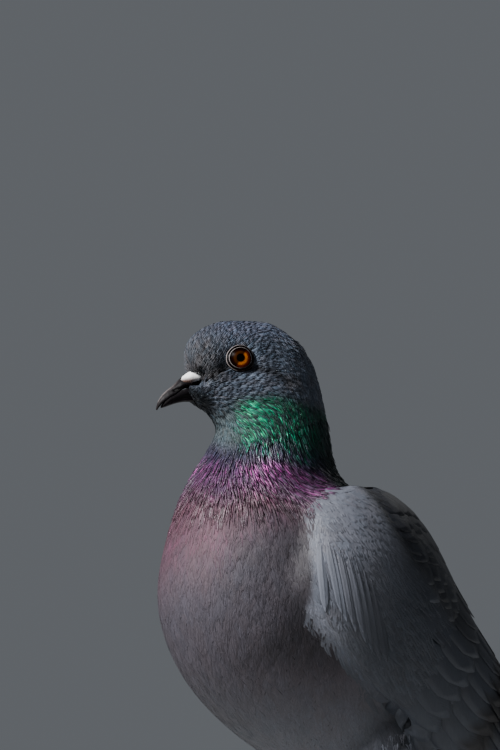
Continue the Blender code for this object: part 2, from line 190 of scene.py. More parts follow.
# %% Fuse the solids into one form
SIDES = {"left": 1.0, "right": -1.0}
TOES = ("middle", "inner", "outer", "hind")
FEATHERED = ["head", "neck", "trunk", "tail"]
FEATHERED += [part + "_" + side for side in SIDES for part in ("wing", "flight", "thigh")]
BARE = [part + "_" + side for side in SIDES for part in ("shank", "foot")]
BARE += ["_".join(("toe", toe, side)) for side in SIDES for toe in TOES]
PARTS = FEATHERED + BARE
KINDS = np.array([node.split("_")[0] for node in PARTS])
SIGNS = np.array([SIDES.get(node.split("_")[-1], 0.0) for node in PARTS])
SWELL = 0.32 * MM
VOXEL = 1.15 * MM
SMOOTH_PASSES = 24
SMOOTH_IN, SMOOTH_OUT = 0.50, -0.52
LONG_PASSES = 90
SPREAD_PASSES = 12


def merged_copy(node, swell=0.0):
    """A bmesh copy of a solid with its loose triangles merged, and moved outwards a little."""
    form = bmesh.new()
    form.from_mesh(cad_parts[node].data)
    bmesh.ops.remove_doubles(form, verts=form.verts, dist=1e-6)
    form.verts.index_update()
    form.normal_update()
    moves = [(vert, vert.normal * swell) for vert in form.verts]
    for vert, move in moves:
        vert.co += move
    return form


def voxel_mesh(name, nodes, swell, voxel):
    """One closed mesh round several solids."""
    mesh = bpy.data.meshes.new(name)
    form = bmesh.new()
    for node in nodes:
        part = merged_copy(node, swell)
        part.to_mesh(mesh)
        part.free()
        form.from_mesh(mesh)
    form.to_mesh(mesh)
    form.free()
    carrier = add_object(name, mesh)
    remesh = carrier.modifiers.new("Fuse", "REMESH")
    remesh.mode = "VOXEL"
    remesh.voxel_size = voxel
    bpy.context.view_layer.update()
    fused = bpy.data.meshes.new_from_object(carrier.evaluated_get(bpy.context.evaluated_depsgraph_get()))
    bpy.data.objects.remove(carrier, do_unlink=True)
    return fused


def read_numbers(collection, name, width, kind=float):
    """A property of every item of a mesh collection, as an array."""
    flat = np.empty(len(collection) * width, dtype=kind)
    collection.foreach_get(name, flat)
    return flat.reshape(-1, width) if width > 1 else flat


def neighbour_mean(values, ends):
    """For every vertex, the mean of a value over the vertices next to it."""
    count = np.bincount(ends.ravel(), minlength=len(values)).astype(float)
    total = np.empty_like(values)
    for column in range(values.shape[1]):
        total[:, column] = np.bincount(ends[:, 0], values[ends[:, 1], column], len(values))
        total[:, column] += np.bincount(ends[:, 1], values[ends[:, 0], column], len(values))
    return total / np.maximum(count, 1.0)[:, None]


def smoothed(mesh, passes):
    """A mesh's points with facets and steps taken out and the volume kept."""
    points = read_numbers(mesh.vertices, "co", 3)
    ends = read_numbers(mesh.edges, "vertices", 2, np.int64)
    for _ in range(passes):
        for weight in (SMOOTH_IN, SMOOTH_OUT):
            points += (neighbour_mean(points, ends) - points) * weight
    return points, ends


def write_points(mesh, points):
    """Give a mesh new vertex positions."""
    mesh.vertices.foreach_set("co", points.ravel())
    mesh.update()


def find_parts(points):
    """The number of the solid nearest to each point."""
    corners, faces, owners = [], [], []
    for number, node in enumerate(PARTS):
        copy = merged_copy(node)
        start = len(corners)
        corners += [vert.co[:] for vert in copy.verts]
        faces += [[start + vert.index for vert in face.verts] for face in copy.faces]
        owners += [number] * len(copy.faces)
        copy.free()
    tree = BVHTree.FromPolygons(corners, faces)
    return np.array([owners[tree.find_nearest(Vector(point))[2]] for point in points])


EYES = ["eye_" + side for side in SIDES]
form_mesh = voxel_mesh("plumage_form", FEATHERED + BARE + EYES, SWELL, VOXEL)
form_points, form_ends = smoothed(form_mesh, SMOOTH_PASSES)
form_parts = find_parts(form_points)
form_kinds = KINDS[form_parts]
print("form:", len(form_points), "points")

# %% Take the flats out of the trunk and the wings
def spread_out(values):
    """Values that change gently from each part of the form to the next."""
    for _ in range(SPREAD_PASSES):
        values = neighbour_mean(values, form_ends)
    return values


def long_smoothed(values):
    """Values with all that is small or uneven taken out."""
    for _ in range(LONG_PASSES):
        values = values + (neighbour_mean(values, form_ends) - values) * 0.5
    return values


large = spread_out(np.isin(form_kinds, ("trunk", "wing", "neck")).astype(float)[:, None])
soft_points = long_smoothed(form_points)
lost = long_smoothed(form_points - soft_points)
form_points += (soft_points + lost - form_points) * np.clip(large * 1.3 - 0.15, 0.0, 1.0)
print("left to move, mm:", round(float(np.abs(soft_points + lost - form_points).max()) / MM, 2))

# %% [markdown]
# The folded wing has its own directions: along it from the wrist to the tip, and across it
# towards the back.  Where its upper edge passes under the feathers of the back there is a
# hollow, which stays in shadow and sets the wing off from the back.

# %% Press in the hollow over the wing
WING_AXIS = np.array((0.0, 0.86, -0.51))
WING_ACROSS = np.array((0.0, 0.51, 0.86))
WING_START = float(np.array((0.0, -79.5, 175.5)) @ WING_AXIS) * MM
# Where the wing passes under the back feathers: distances along it and across it, mm.
SCAPULAR_LINE = ((8, 126), (14, 123), (20, 119), (24, 115), (29, 111), (35, 107), (45, 104))
SCAPULAR_LINE += ((60, 98), (90, 96))
HOLLOW_DEPTH = 0.7 * MM
HOLLOW_ABOVE = 5 * MM
HOLLOW_HALF = 3.6 * MM
# The front edge of the wing's plumage: distances across the wing and along it, mm.
WING_EDGE = ((70, 17.0), (76, 13.0), (80, 10.2), (86, 6.8), (94, 3.2), (99, 1.4), (105, -0.8), (112, -3.0))


def step(values, start, stop):
    """A smooth step from 0 at start to 1 at stop, which may be the lower of the two."""
    part = np.clip((values - start) / (stop - start), 0.0, 1.0)
    return part * part * (3 - 2 * part)


def mm_step(values, start, stop):
    """The same step, with its start and its stop in millimetres."""
    return step(values, start * MM, stop * MM)


def along_wing(points):
    """How far along the folded wing places are, from the wrist."""
    return points @ WING_AXIS - WING_START


def over_scapulars(points):
    """How far places are above the line where the wing passes under the scapulars."""
    distances, heights = zip(*SCAPULAR_LINE)
    line = np.interp(along_wing(points) / MM, distances, heights) * MM
    return points @ WING_ACROSS - line


def behind_edge(points):
    """How far places are behind the front edge of the wing's plumage."""
    crossings, distances = zip(*WING_EDGE)
    line = np.interp(points @ WING_ACROSS / MM, crossings, distances) * MM
    return along_wing(points) - line


def mesh_normals(mesh, points):
    """The vertex normals that a mesh has with new points."""
    write_points(mesh, points)
    return read_numbers(mesh.vertices, "normal", 3)


along = along_wing(form_points)
hollow = np.exp(-(((over_scapulars(form_points) - HOLLOW_ABOVE) / HOLLOW_HALF) ** 2))
hollow *= (form_kinds == "wing") * mm_step(along, 8, 18) * mm_step(along, 84, 60) * HOLLOW_DEPTH
form_points -= mesh_normals(form_mesh, form_points) * hollow[:, None]
print("hollow, mm:", round(float(hollow.max()) / MM, 2))

# %% [markdown]
# ## Landmarks of the head
# The head is turned, so its own directions come from the two eyes.  The crease that runs back
# from the eye is where the feathers of the crown and of the cheek part.  Pressing it into the
# form makes both stand up beside it.  The lore is the small hollow before the eye.  Crease and
# lore are also painted dark as shade in the markings.  Each eye sits in a flat socket whose
# slopes fade into the face, and the cere in a notch under the forehead.  The feathered jaw
# reaches a little forward under the bill, and the crown is full.

# %% Find the head's directions and press in its hollows
eye_gap = middle("eye_left") - middle("eye_right")
head_left = Vector((eye_gap.x, eye_gap.y, 0.0)).normalized()
head_front = head_left.cross(UP).normalized()
head_middle = (middle("eye_left") + middle("eye_right")) / 2
bill_root = middle("bill_upper") - head_front * 6.5 * MM
CREASE = ((-3.6, -2.6), (-8.0, -3.6), (-13.0, -5.0), (-17.5, -8.0))
CREASE_DEPTH = 1.0 * MM
CREASE_HALF = 1.3 * MM
LORE = ((5.6, -2.4), (9.5, -5.6))
LORE_DEPTH = 0.7 * MM
LORE_HALF = 2.0 * MM
EYE_RADIUS = 5.6 * MM
EYE_FORWARD = 0.12
EYE_RAISED = 0.35 * MM
EYE_BACK = 0.4 * MM
SOCKET_LEVEL = 3.0 * MM
SOCKET_SLOPE = 0.44
SOCKET_REACH = 5.0 * MM
SOCKET_EDGE = 0.3 * MM
# Each bump: how far it is in front of the eyes and above them, its reach and how far it is drawn.
JAW = (13.5 * MM, -10.6 * MM, 3.2 * MM, 2.4 * MM)
CROWN = (-12.5 * MM, 11.0 * MM, 7.5 * MM, 1.8 * MM)
NOTCH_FRONT = (11.2 * MM, 13.6 * MM)
NOTCH_TOP = (-3.4 * MM, -4.6 * MM)
NOTCH_END = (-9.6 * MM, -8.2 * MM)
NOTCH_WIDTH = 0.36


def head_places(points):
    """Places in front of the eyes, above them, and out to the side, in the head's directions."""
    away = points - np.array(head_middle)
    return away @ np.array(head_front), away[:, 2], away @ np.array(head_left)


def near_line(front, above, line):
    """How far places on the side of the head are from a line drawn on it."""
    best = np.full(len(front), 1.0)
    for (x0, z0), (x1, z1) in zip(line, line[1:]):
        start = np.array((x0, z0)) * MM
        run = np.array((x1, z1)) * MM - start
        gap = np.stack([front, above], axis=1) - start
        part = np.clip(gap @ run / (run @ run), 0.0, 1.0)
        best = np.minimum(best, np.linalg.norm(gap - part[:, None] * run, axis=1))
    return best


def head_hollow(points):
    """How deep the crease and the lore are at each place, from 0 to 1 each."""
    front, above, side = head_places(points)
    beside = np.clip((np.abs(side) / MM - 4.0) / 3.0, 0.0, 1.0)
    crease = np.exp(-((near_line(front, above, CREASE) / CREASE_HALF) ** 2)) * beside
    lore = np.exp(-((near_line(front, above, LORE) / LORE_HALF) ** 2)) * beside
    return crease, lore


def eye_frame(sign):
    """Backward, upward and outward directions of an eye, and its centre."""
    out = (head_left * sign + head_front * EYE_FORWARD).normalized()
    back = (-head_front - out * (-head_front).dot(out)).normalized()
    up = (UP - out * UP.dot(out)).normalized()
    centre = middle("eye_" + ("left" if sign > 0 else "right"))
    return back, up, out, centre + UP * EYE_RAISED + back * EYE_BACK


def press_face(points):
    """Points of the head with sockets and the cere's notch pressed in, and jaw and crown out."""
    for sign in SIDES.values():
        _back, _up, out, centre = eye_frame(sign)
        away = points - np.array(centre)
        reach = away @ np.array(out)
        far = np.linalg.norm(away - np.outer(reach, out), axis=1)
        limit = SOCKET_LEVEL + SOCKET_SLOPE * np.maximum(far - SOCKET_REACH, 0.0)
        over = (reach - limit) / 2
        points = points - np.outer(over + np.sqrt(over**2 + SOCKET_EDGE**2), out)
    front, above, _side = head_places(points)
    for (bump_front, bump_above, reach, drawn), way in ((JAW, head_front), (CROWN, UP)):
        near = np.exp(-(((front - bump_front) / reach) ** 2) - ((above - bump_above) / reach) ** 2)
        points = points + np.outer(near * drawn, way)
    front, above, side = head_places(points)
    weight = step(front, *NOTCH_FRONT) * step(above, *NOTCH_TOP) * step(above, *NOTCH_END)
    return points - np.outer(side * weight * (1 - NOTCH_WIDTH), head_left)


on_head = (form_kinds == "head").astype(float)
form_points += (press_face(form_points) - form_points) * on_head[:, None]
crease, lore = head_hollow(form_points)
hollow = (crease * CREASE_DEPTH + lore * LORE_DEPTH) * on_head
form_points -= mesh_normals(form_mesh, form_points) * hollow[:, None]
form_normals = mesh_normals(form_mesh, form_points)
form_faces = [tuple(face.vertices) for face in form_mesh.polygons]
form_tree = BVHTree.FromPolygons([tuple(point) for point in form_points], form_faces)
face_normals = np.array([form_normals[list(face)].mean(axis=0) for face in form_faces])
print("head faces:", [round(value, 2) for value in head_front], "faces:", len(form_faces))


def lay_on_form(points):
    """The nearest places on the form, and its smooth normals there."""
    places = np.empty_like(points)
    normals = np.empty_like(points)
    for number, point in enumerate(points):
        place, _normal, index, _distance = form_tree.find_nearest(point)
        places[number] = place
        normals[number] = face_normals[index]
    return places, unit(normals)


def unit(vectors):
    """Vectors made one long."""
    return vectors / np.maximum(np.linalg.norm(vectors, axis=-1, keepdims=True), 1e-12)


# %% [markdown]
# ## Markings
# A pigeon of the old wild pattern is slate on the head, green and then purple on the neck,
# mauve on the breast, ash on the wings with two black bars, and dark on the flight feathers and
# the tail's end.  Shade is painted in too: darker colour in the crease, the lore and round the
# cere, under the jaw, at the ear, on the back of the neck, on the breast beside the wing and over
# the rear of the wing, and the dark grey back is deepened by painted shade.  Skin and feathers
# must agree, so one function gives the colour of any place from its part and its position.  It
# lays a few named colours over each other along smooth steps.  On the neck only some barbs catch
# the light, so its colours have a dull and a vivid form, and a number from 0 to 1 chooses; the
# vivid form is their iridescent colour with painted glints in it.

# %% Name the colours
COLOURS = {
    "slate": (0.074, 0.091, 0.124),
    "crown": (0.094, 0.112, 0.165),
    "brow": (0.042, 0.044, 0.052),
    # painted shade for the crease, the lore hollow and the notch round the cere
    "lore": (0.016, 0.016, 0.019),
    "throat": (0.066, 0.088, 0.100),
    "green_dull": (0.022, 0.042, 0.044),
    # each vivid form is the iridescent colour with painted glints in it
    "green_vivid": (0.002, 0.520, 0.260),
    "lilac": (0.030, 0.025, 0.052),
    # painted shade under the bill, on the jaw
    "chin_shade": (0.016, 0.020, 0.026),
    "purple_dull": (0.060, 0.031, 0.065),
    "purple_vivid": (0.520, 0.070, 0.400),
    "mauve_dull": (0.070, 0.034, 0.048),
    "mauve_vivid": (0.300, 0.070, 0.160),
    "breast": (0.055, 0.049, 0.061),
    "belly": (0.080, 0.085, 0.104),
    # the back's own darker grey, deepened by painted shade
    "mantle_shade": (0.016, 0.018, 0.024),
    "rump": (0.360, 0.375, 0.410),
    "ash": (0.108, 0.115, 0.141),
    # painted shade over the rear of the folded wing
    "ash_rear_shade": (0.036, 0.042, 0.056),
    "bar": (0.014, 0.014, 0.017),
    "flight": (0.060, 0.060, 0.068),
    "tail": (0.140, 0.150, 0.175),
    "tail_edge": (0.450, 0.460, 0.480),
    "leg": (0.360, 0.085, 0.075),
}
COLOURS = {name: np.array(value) for name, value in COLOURS.items()}

# Heights on the neck and breast where one colour becomes the next.
NECK_TOP = 214.5 * MM
GREEN_END = 194.0 * MM
PURPLE_END = 177.0 * MM
MAUVE_END = 146.0 * MM
BREAST_END = 108.0 * MM
NECK_AXIS = middle("neck").y

# Distances along the wing from its wrist, and along the tail from its root.
BARS = ((96.0 * MM, 5.5 * MM), (128.0 * MM, 6.5 * MM))
FLIGHT_START = 141.0 * MM
TAIL_AXIS = np.array((0.0, 0.75, -0.66))
TAIL_START = float(np.array((0.0, 37.0, 81.0)) @ TAIL_AXIS) * MM
TAIL_BAND = 78.0 * MM


def blend(first, second, part):
    """Two colours, or arrays of them, mixed by a part from 0 to 1 for every place."""
    return first + (second - first) * part[:, None]


def along_tail(points):
    """How far along the tail places are, from its root."""
    return points @ TAIL_AXIS - TAIL_START


# %% Mix the markings
def painted(colour, layers):
    """A colour with more laid over it, each with how much of it shows at every place."""
    for over, part in layers:
        colour = blend(colour, COLOURS[over] if isinstance(over, str) else over, part)
    return colour


def glossy(name, vivid):
    """A colour of the neck between its dull and its vivid form."""
    return blend(COLOURS[name + "_dull"], COLOURS[name + "_vivid"], vivid)


def body_marking(points, vivid):
    """Head, neck, breast, belly, back and rump."""
    front, above, side = head_places(points)
    height = points[:, 2]
    behind = points[:, 1] - NECK_AXIS
    lift = 3 * MM * np.sin(points[:, 0] * 190 + points[:, 1] * 130)
    level = height + 0.10 * behind + lift * 0.5

    brow = mm_step(front, 1, 12) * (0.62 + 0.38 * mm_step(above, 10, -1))
    # painted shade: the crease, the lore hollow and the notch round the cere get the dark lore colour
    crease, lore = head_hollow(points)
    from_bill = np.linalg.norm(points - np.array(bill_root), axis=1)
    cere_shade = mm_step(from_bill, 10, 5) * mm_step(above, -8.5, -6)
    dark = np.clip(0.75 * crease + lore + 0.9 * cere_shade, 0.0, 1.0)
    # painted shade under the bill, on the jaw below the gape
    jaw_line = above + 10 * MM + 0.62 * (15 * MM - front)
    # painted shade at the ear, in the colour of the brow
    ear = np.hypot(front + 18.6 * MM, above + 8.7 * MM)
    head = [("crown", mm_step(above, 5, 13)), ("brow", brow * mm_step(above, -9, -6))]
    head += [("lore", dark * mm_step(height, 204, 208)), ("throat", mm_step(height, 214, 205))]
    head += [("chin_shade", mm_step(jaw_line, 1.0, -1.2) * mm_step(front, 6, 10))]
    head += [("brow", 0.6 * mm_step(ear, 5.5, 1.5))]

    # how much of the vivid form, with its painted glints, shows round the neck
    patch = mm_step(front, 4, -3) * (0.25 + 0.75 * mm_step(front, -26, -14))
    green = step(level, NECK_TOP, NECK_TOP - 5 * MM) * mm_step(front, 8, -2)
    lilac = step(level, GREEN_END + 5 * MM, GREEN_END - 4 * MM) * (1 - 0.4 * vivid)
    neck = [(glossy("green", vivid * patch), green), ("lilac", lilac)]
    neck += [(glossy("purple", vivid), step(level, GREEN_END - 3 * MM, GREEN_END - 11 * MM))]
    neck += [(glossy("mauve", vivid), step(level, PURPLE_END + 5 * MM, PURPLE_END - 8 * MM))]

    turning = 26 * MM * mm_step(points[:, 0], 10, 36)
    breast = step(level, MAUVE_END + 22 * MM + turning, MAUVE_END - 16 * MM + turning)
    under = [("breast", breast), ("belly", step(height, BREAST_END + 12 * MM, BREAST_END - 16 * MM))]
    colour = painted(COLOURS["slate"], head + neck + under)
    # painted shade on the breast beside the wing
    tucked = mm_step(behind_edge(points), -11, -1) * mm_step(height, 112, 126)
    tucked = tucked * mm_step(height, 176, 164) * mm_step(np.abs(side), 0.0, 10)

    # painted shade on the back of the neck
    nape_shade = mm_step(behind, 6, 15) * step(height, PURPLE_END - 15 * MM, PURPLE_END - 8 * MM)
    back = [(colour * 0.5, tucked), (COLOURS["green_dull"] * 0.7, nape_shade * step(height, NECK_TOP, GREEN_END))]
    # the back's dark colour, deepened as painted shade
    back += [("mantle_shade", mm_step(behind, 14, 34) * mm_step(height, 192, 176))]
    back += [("rump", mm_step(along_tail(points), -34, -18) * mm_step(behind, 60, 80))]
    return painted(colour, back)


def wing_marking(points):
    """Ash grey, painted darker towards the rear and under the scapulars as shade, with two black bars, then
    dark flight feathers.
    """
    along = along_wing(points)
    inner = mm_step(np.abs(points[:, 0]), 28, 22)
    over = np.maximum(mm_step(over_scapulars(points), -2, 4), inner) * mm_step(along, 100, 60)
    # painted shade: the rear of the wing darker, and the band under the scapulars in the back's colour
    layers = [("ash_rear_shade", mm_step(along, 16, 44)), ("mantle_shade", over)]
    layers += [("flight", step(along, FLIGHT_START, FLIGHT_START + 10 * MM))]
    layers += [("bar", step(np.abs(along - centre), half, half * 0.78)) for centre, half in BARS]
    return painted(COLOURS["ash"], layers)


def tail_marking(points):
    """Grey, with a black band at the end and pale outer edges."""
    along = along_tail(points)
    layers = [("rump", step(along, 14 * MM, 0.0) * 0.6)]
    layers += [("tail_edge", mm_step(np.abs(points[:, 0]), 20.0, 22.0))]
    layers += [("bar", step(along, TAIL_BAND, TAIL_BAND + 3 * MM))]
    return painted(COLOURS["tail"], layers)


def markings(points, parts, vivid):
    """The colour of each place, from its position, the number of its part and its vividness."""
    colour = body_marking(points, vivid)
    kinds = KINDS[parts]
    for names, rule in ((("wing", "flight"), wing_marking), (("tail",), tail_marking)):
        chosen = np.isin(kinds, names)
        if chosen.any():
            ahead = mm_step(behind_edge(points[chosen]), 1.0, -1.0) * (kinds[chosen] == "wing")
            colour[chosen] = blend(rule(points[chosen]), colour[chosen], ahead)
    colour[kinds == "thigh"] = COLOURS["belly"]
    colour[np.isin(kinds, ("shank", "foot", "toe"))] = COLOURS["leg"]
    return colour


print("colours:", len(COLOURS))

# %% [markdown]
# ## Shared shader effects
# Every feather has barbs: fine lines that leave the shaft at a slant.  Skin, horn and scales
# vary at a small scale and have a matching relief.  Two node groups give these, built once and
# placed in each material with its own values.

# %% Build the barb and grain groups
SOCKETS = {"float": "NodeSocketFloat", "vector": "NodeSocketVector", "colour": "NodeSocketColor"}


def new_group(name, inputs, outputs):
    """A shader node group with named sockets."""
    group = bpy.data.node_groups.new(name, "ShaderNodeTree")
    for label, kind, value in inputs:
        socket = group.interface.new_socket(label, in_out="INPUT", socket_type=SOCKETS[kind])
        if value is not None:
            socket.default_value = value
    for label, kind in outputs:
        group.interface.new_socket(label, in_out="OUTPUT", socket_type=SOCKETS[kind])
    return group, group.nodes.new("NodeGroupInput"), group.nodes.new("NodeGroupOutput")


def wire(tree, kind, links=(), **settings):
    """A new node with its settings made, and its inputs given a value or linked."""
    node = tree.nodes.new(kind)
    for name, value in settings.items():
        setattr(node, name, value)
    for socket, source in links:
        if isinstance(source, (int, float, tuple)):
            node.inputs[socket].default_value = source
        else:
            tree.links.new(source, node.inputs[socket])
    return node


def maths(tree, operation, first, second=None):
    """The output of a Math node."""
    links = [(0, first)] if second is None else [(0, first), (1, second)]
    return wire(tree, "ShaderNodeMath", links, operation=operation).outputs[0]


def spread(tree, value, low, high, out_low=-1.0, out_high=1.0):
    """A value mapped from one range to another."""
    links = [("Value", value), ("From Min", low), ("From Max", high)]
    links += [("To Min", out_low), ("To Max", out_high)]
    return wire(tree, "ShaderNodeMapRange", links).outputs[0]


def tinted(tree, tint, gain):
    """A colour made lighter or darker by a factor."""
    return wire(tree, "ShaderNodeVectorMath", [(0, tint), ("Scale", gain)], operation="SCALE").outputs[0]


def barb_group():
    """Fine slanting lines on both sides of a shaft, from a vane's own UV map."""
    inputs = (("Tint", "colour", None), ("Place", "vector", None), ("Lines", "float", 20.0))
    inputs += (("Depth", "float", 0.3), ("Fringe", "float", 0.0))
    group, given, result = new_group("Barbs", inputs, (("Colour", "colour"), ("Height", "float")))
    apart = wire(group, "ShaderNodeSeparateXYZ", [("Vector", given.outputs["Place"])])
    across = maths(group, "FRACT", apart.outputs["X"])
    side = maths(group, "ABSOLUTE", maths(group, "SUBTRACT", across, 0.5))
    slant = maths(group, "SUBTRACT", apart.outputs["Y"], maths(group, "MULTIPLY", side, 0.9))
    lines = maths(group, "MULTIPLY", slant, given.outputs["Lines"])
    tuft = maths(group, "MULTIPLY", apart.outputs["X"], 7.0)
    place = wire(group, "ShaderNodeCombineXYZ", [("X", tuft), ("Y", lines)])
    links = [("Vector", place.outputs[0]), ("Scale", 1.0), ("Detail", 2.0)]
    noise = wire(group, "ShaderNodeTexNoise", links)
    swing = spread(group, noise.outputs["Fac"], 0.3, 0.7)
    shaft = spread(group, side, 0.0, 0.03, 0.8, 0.0)
    edge = spread(group, side, 0.40, 0.47, 0.0, 1.0)
    change = maths(group, "MULTIPLY", swing, given.outputs["Depth"])
    paler = maths(group, "MULTIPLY", edge, given.outputs["Fringe"])
    gain = maths(group, "ADD", maths(group, "ADD", change, paler), 1.0)
    group.links.new(tinted(group, given.outputs["Tint"], gain), result.inputs["Colour"])
    group.links.new(maths(group, "ADD", swing, shaft), result.inputs["Height"])
    return group


def grain_group():
    """Mottling of a colour and a matching relief, from object coordinates."""
    inputs = (("Tint", "colour", None), ("Place", "vector", None), ("Scale", "float", 900.0))
    inputs += (("Depth", "float", 0.3),)
    group, given, result = new_group("Grain", inputs, (("Colour", "colour"), ("Height", "float")))
    links = [("Vector", given.outputs["Place"]), ("Scale", given.outputs["Scale"]), ("Detail", 4.0)]
    noise = wire(group, "ShaderNodeTexNoise", links)
    change = maths(group, "MULTIPLY", spread(group, noise.outputs["Fac"], 0.3, 0.7), given.outputs["Depth"])
    gain = maths(group, "ADD", change, 1.0)
    group.links.new(tinted(group, given.outputs["Tint"], gain), result.inputs["Colour"])
    group.links.new(noise.outputs["Fac"], result.inputs["Height"])
    return group


BARBS = barb_group()
GRAIN = grain_group()
print("groups:", BARBS.name, GRAIN.name)

# %% [markdown]
# ## Materials
# The colour of every feather is already in its mesh as the attribute Tint, so one material can
# serve a whole coat.  On the neck a second attribute, Sheen, says how metallic a barb looks:
# real neck feathers shine because of thin films in their barbs, and a tinted metal is the
# nearest thing that keeps its look from every side.  Skin, lids, horn, cere and scales use the
# same Tint with a grain instead of barbs.

# %% Write the materials
BARB_RELIEF = (0.35, 0.1 * MM)  # its strength and its depth


def new_material(name, roughness, constants):
    """A Principled material with its constant values on the shader's own sockets."""
    material = bpy.data.materials.new(name)
    material.use_nodes = True
    shader = material.node_tree.nodes["Principled BSDF"]
    shader.inputs["Roughness"].default_value = roughness
    for label, value in constants.items():
        shader.inputs[label].default_value = value
    return material, material.node_tree, shader


def relief(tree, shader, height, strength, distance):
    """Feed a height into the shader's normal."""
    links = [("Height", height), ("Strength", strength), ("Distance", distance)]
    bump = wire(tree, "ShaderNodeBump", links)
    tree.links.new(bump.outputs["Normal"], shader.inputs["Normal"])


def plumage_material(name, roughness, lines, depth, fringe=0.0):
    """Feathers coloured by Tint and Sheen, with barbs from the vane's UV map."""
    material, tree, shader = new_material(name, roughness, {"Specular IOR Level": 0.25})
    tint = wire(tree, "ShaderNodeVertexColor", layer_name="Tint")
    sheen = wire(tree, "ShaderNodeAttribute", attribute_name="Sheen")
    vane = wire(tree, "ShaderNodeUVMap", uv_map="Vane")
    links = [("Tint", tint.outputs["Color"]), ("Place", vane.outputs["UV"])]
    links += [("Lines", lines), ("Depth", depth), ("Fringe", fringe)]
    barbs = wire(tree, "ShaderNodeGroup", links, node_tree=BARBS)
    tree.links.new(barbs.outputs["Colour"], shader.inputs["Base Color"])
    tree.links.new(sheen.outputs["Fac"], shader.inputs["Metallic"])
    relief(tree, shader, barbs.outputs["Height"], *BARB_RELIEF)
    return material


def grained_material(name, roughness, scale, depth, bump, distance, constants):
    """Skin, horn and scales coloured by Tint, with a grain in object coordinates."""
    material, tree, shader = new_material(name, roughness, constants)
    tint = wire(tree, "ShaderNodeVertexColor", layer_name="Tint")
    place = wire(tree, "ShaderNodeTexCoord")
    links = [("Tint", tint.outputs["Color"]), ("Place", place.outputs["Object"])]
    links += [("Scale", scale), ("Depth", depth)]
    grain = wire(tree, "ShaderNodeGroup", links, node_tree=GRAIN)
    tree.links.new(grain.outputs["Colour"], shader.inputs["Base Color"])
    relief(tree, shader, grain.outputs["Height"], bump, distance)
    return material


down_finish = grained_material("down_and_skin", 0.7, 1400.0, 0.3, 0.5, 0.15 * MM, {"Sheen Weight": 0.1})
leg_finish = grained_material("leg_scales", 0.48, 1600.0, 0.22, 0.5, 0.12 * MM, {})
lid_finish = grained_material("bare_lid", 0.5, 2600.0, 0.25, 0.6, 0.10 * MM, {})
cere_finish = grained_material("chalky_cere", 0.62, 2200.0, 0.10, 0.6, 0.14 * MM, {})
horn_finish = grained_material("dark_horn", 0.46, 1300.0, 0.30, 0.25, 0.08 * MM, {"Specular IOR Level": 0.06})
claw_finish = grained_material("claw_horn", 0.36, 1500.0, 0.25, 0.35, 0.08 * MM, {})
print("materials:", len(bpy.data.materials))

# %% [markdown]
# ## The skin
# The skin is the form drawn in by the depth of the coat: a good millimetre under the feathers
# of the body, less under the quills and nothing on the bare legs.  The depth is averaged over
# neighbouring places, so it changes gently from one part to the next and no seam shows.  The
# down is dark, but the fine coat of the trunk lets it through, so it is lighter there.

# %% Draw the skin in under the coat
COAT_DEPTH = {
    "head": 0.9 * MM,
    "neck": 1.5 * MM,
    "trunk": 1.2 * MM,
    "thigh": 1.4 * MM,
    "wing": 0.9 * MM,
    "flight": 0.45 * MM,
    "tail": 0.55 * MM,
}
DOWN_SHADE = 0.40  # the down is darker than the feathers that it shows between
DOWN_LIGHTER = 2.3
DOWN_VIVID = 0.1


def set_colour(mesh, name, colours):
    """Store a colour for every vertex."""
    layer = mesh.color_attributes.new(name, "FLOAT_COLOR", "POINT")
    flat = np.ones((len(mesh.vertices), 4))
    flat[:, :3] = colours
    layer.data.foreach_set("color", flat.ravel())


def set_float(mesh, name, values):
    """Store a number for every vertex."""
    layer = mesh.attributes.new(name, "FLOAT", "POINT")
    layer.data.foreach_set("value", values)


def add_piece(name, mesh, material, nodes=()):
    """Finish a piece: its material, its body, and the solids it stands for."""
    piece = add_object(name, mesh)
    mesh.materials.clear()
    mesh.materials.append(material)
    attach(piece, "root")
    if nodes:
        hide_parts(*nodes)


def build_skin():
    """One closed skin for the whole bird."""
    depth = np.zeros((len(form_points), 1))
    for kind, amount in COAT_DEPTH.items():
        depth[form_kinds == kind] = amount
    depth = spread_out(depth)
    mesh = form_mesh.copy()
    mesh.name = "skin"
    inner = form_points - form_normals * depth
    inner[:, 2] = np.maximum(inner[:, 2], 0.0)
    write_points(mesh, inner)
    bare = np.isin(form_kinds, ("shank", "foot", "toe"))
    tint = markings(form_points, form_parts, np.full(len(form_points), DOWN_VIVID))
    tint[~bare] *= DOWN_SHADE
    tint[np.isin(form_kinds, ("trunk", "thigh"))] *= DOWN_LIGHTER
    set_colour(mesh, "Tint", tint)
    mesh.shade_smooth()
    add_piece("skin", mesh, down_finish, FEATHERED + BARE)
    print("skin:", len(mesh.polygons), "faces")


build_skin()

# %% [markdown]
# ## How the plumage lies
# Feathers point away from the bill: back over the crown, down the neck, down the breast and
# back under the belly, and along each folded wing to its tip.  It is enough to know roughly
# which way they point at each place in space.  Laid flat on the form, that direction turns into
# the true lie, as water would run over it.

# %% Give the lie of the plumage
HEAD_REACH = (42 * MM, 24 * MM)


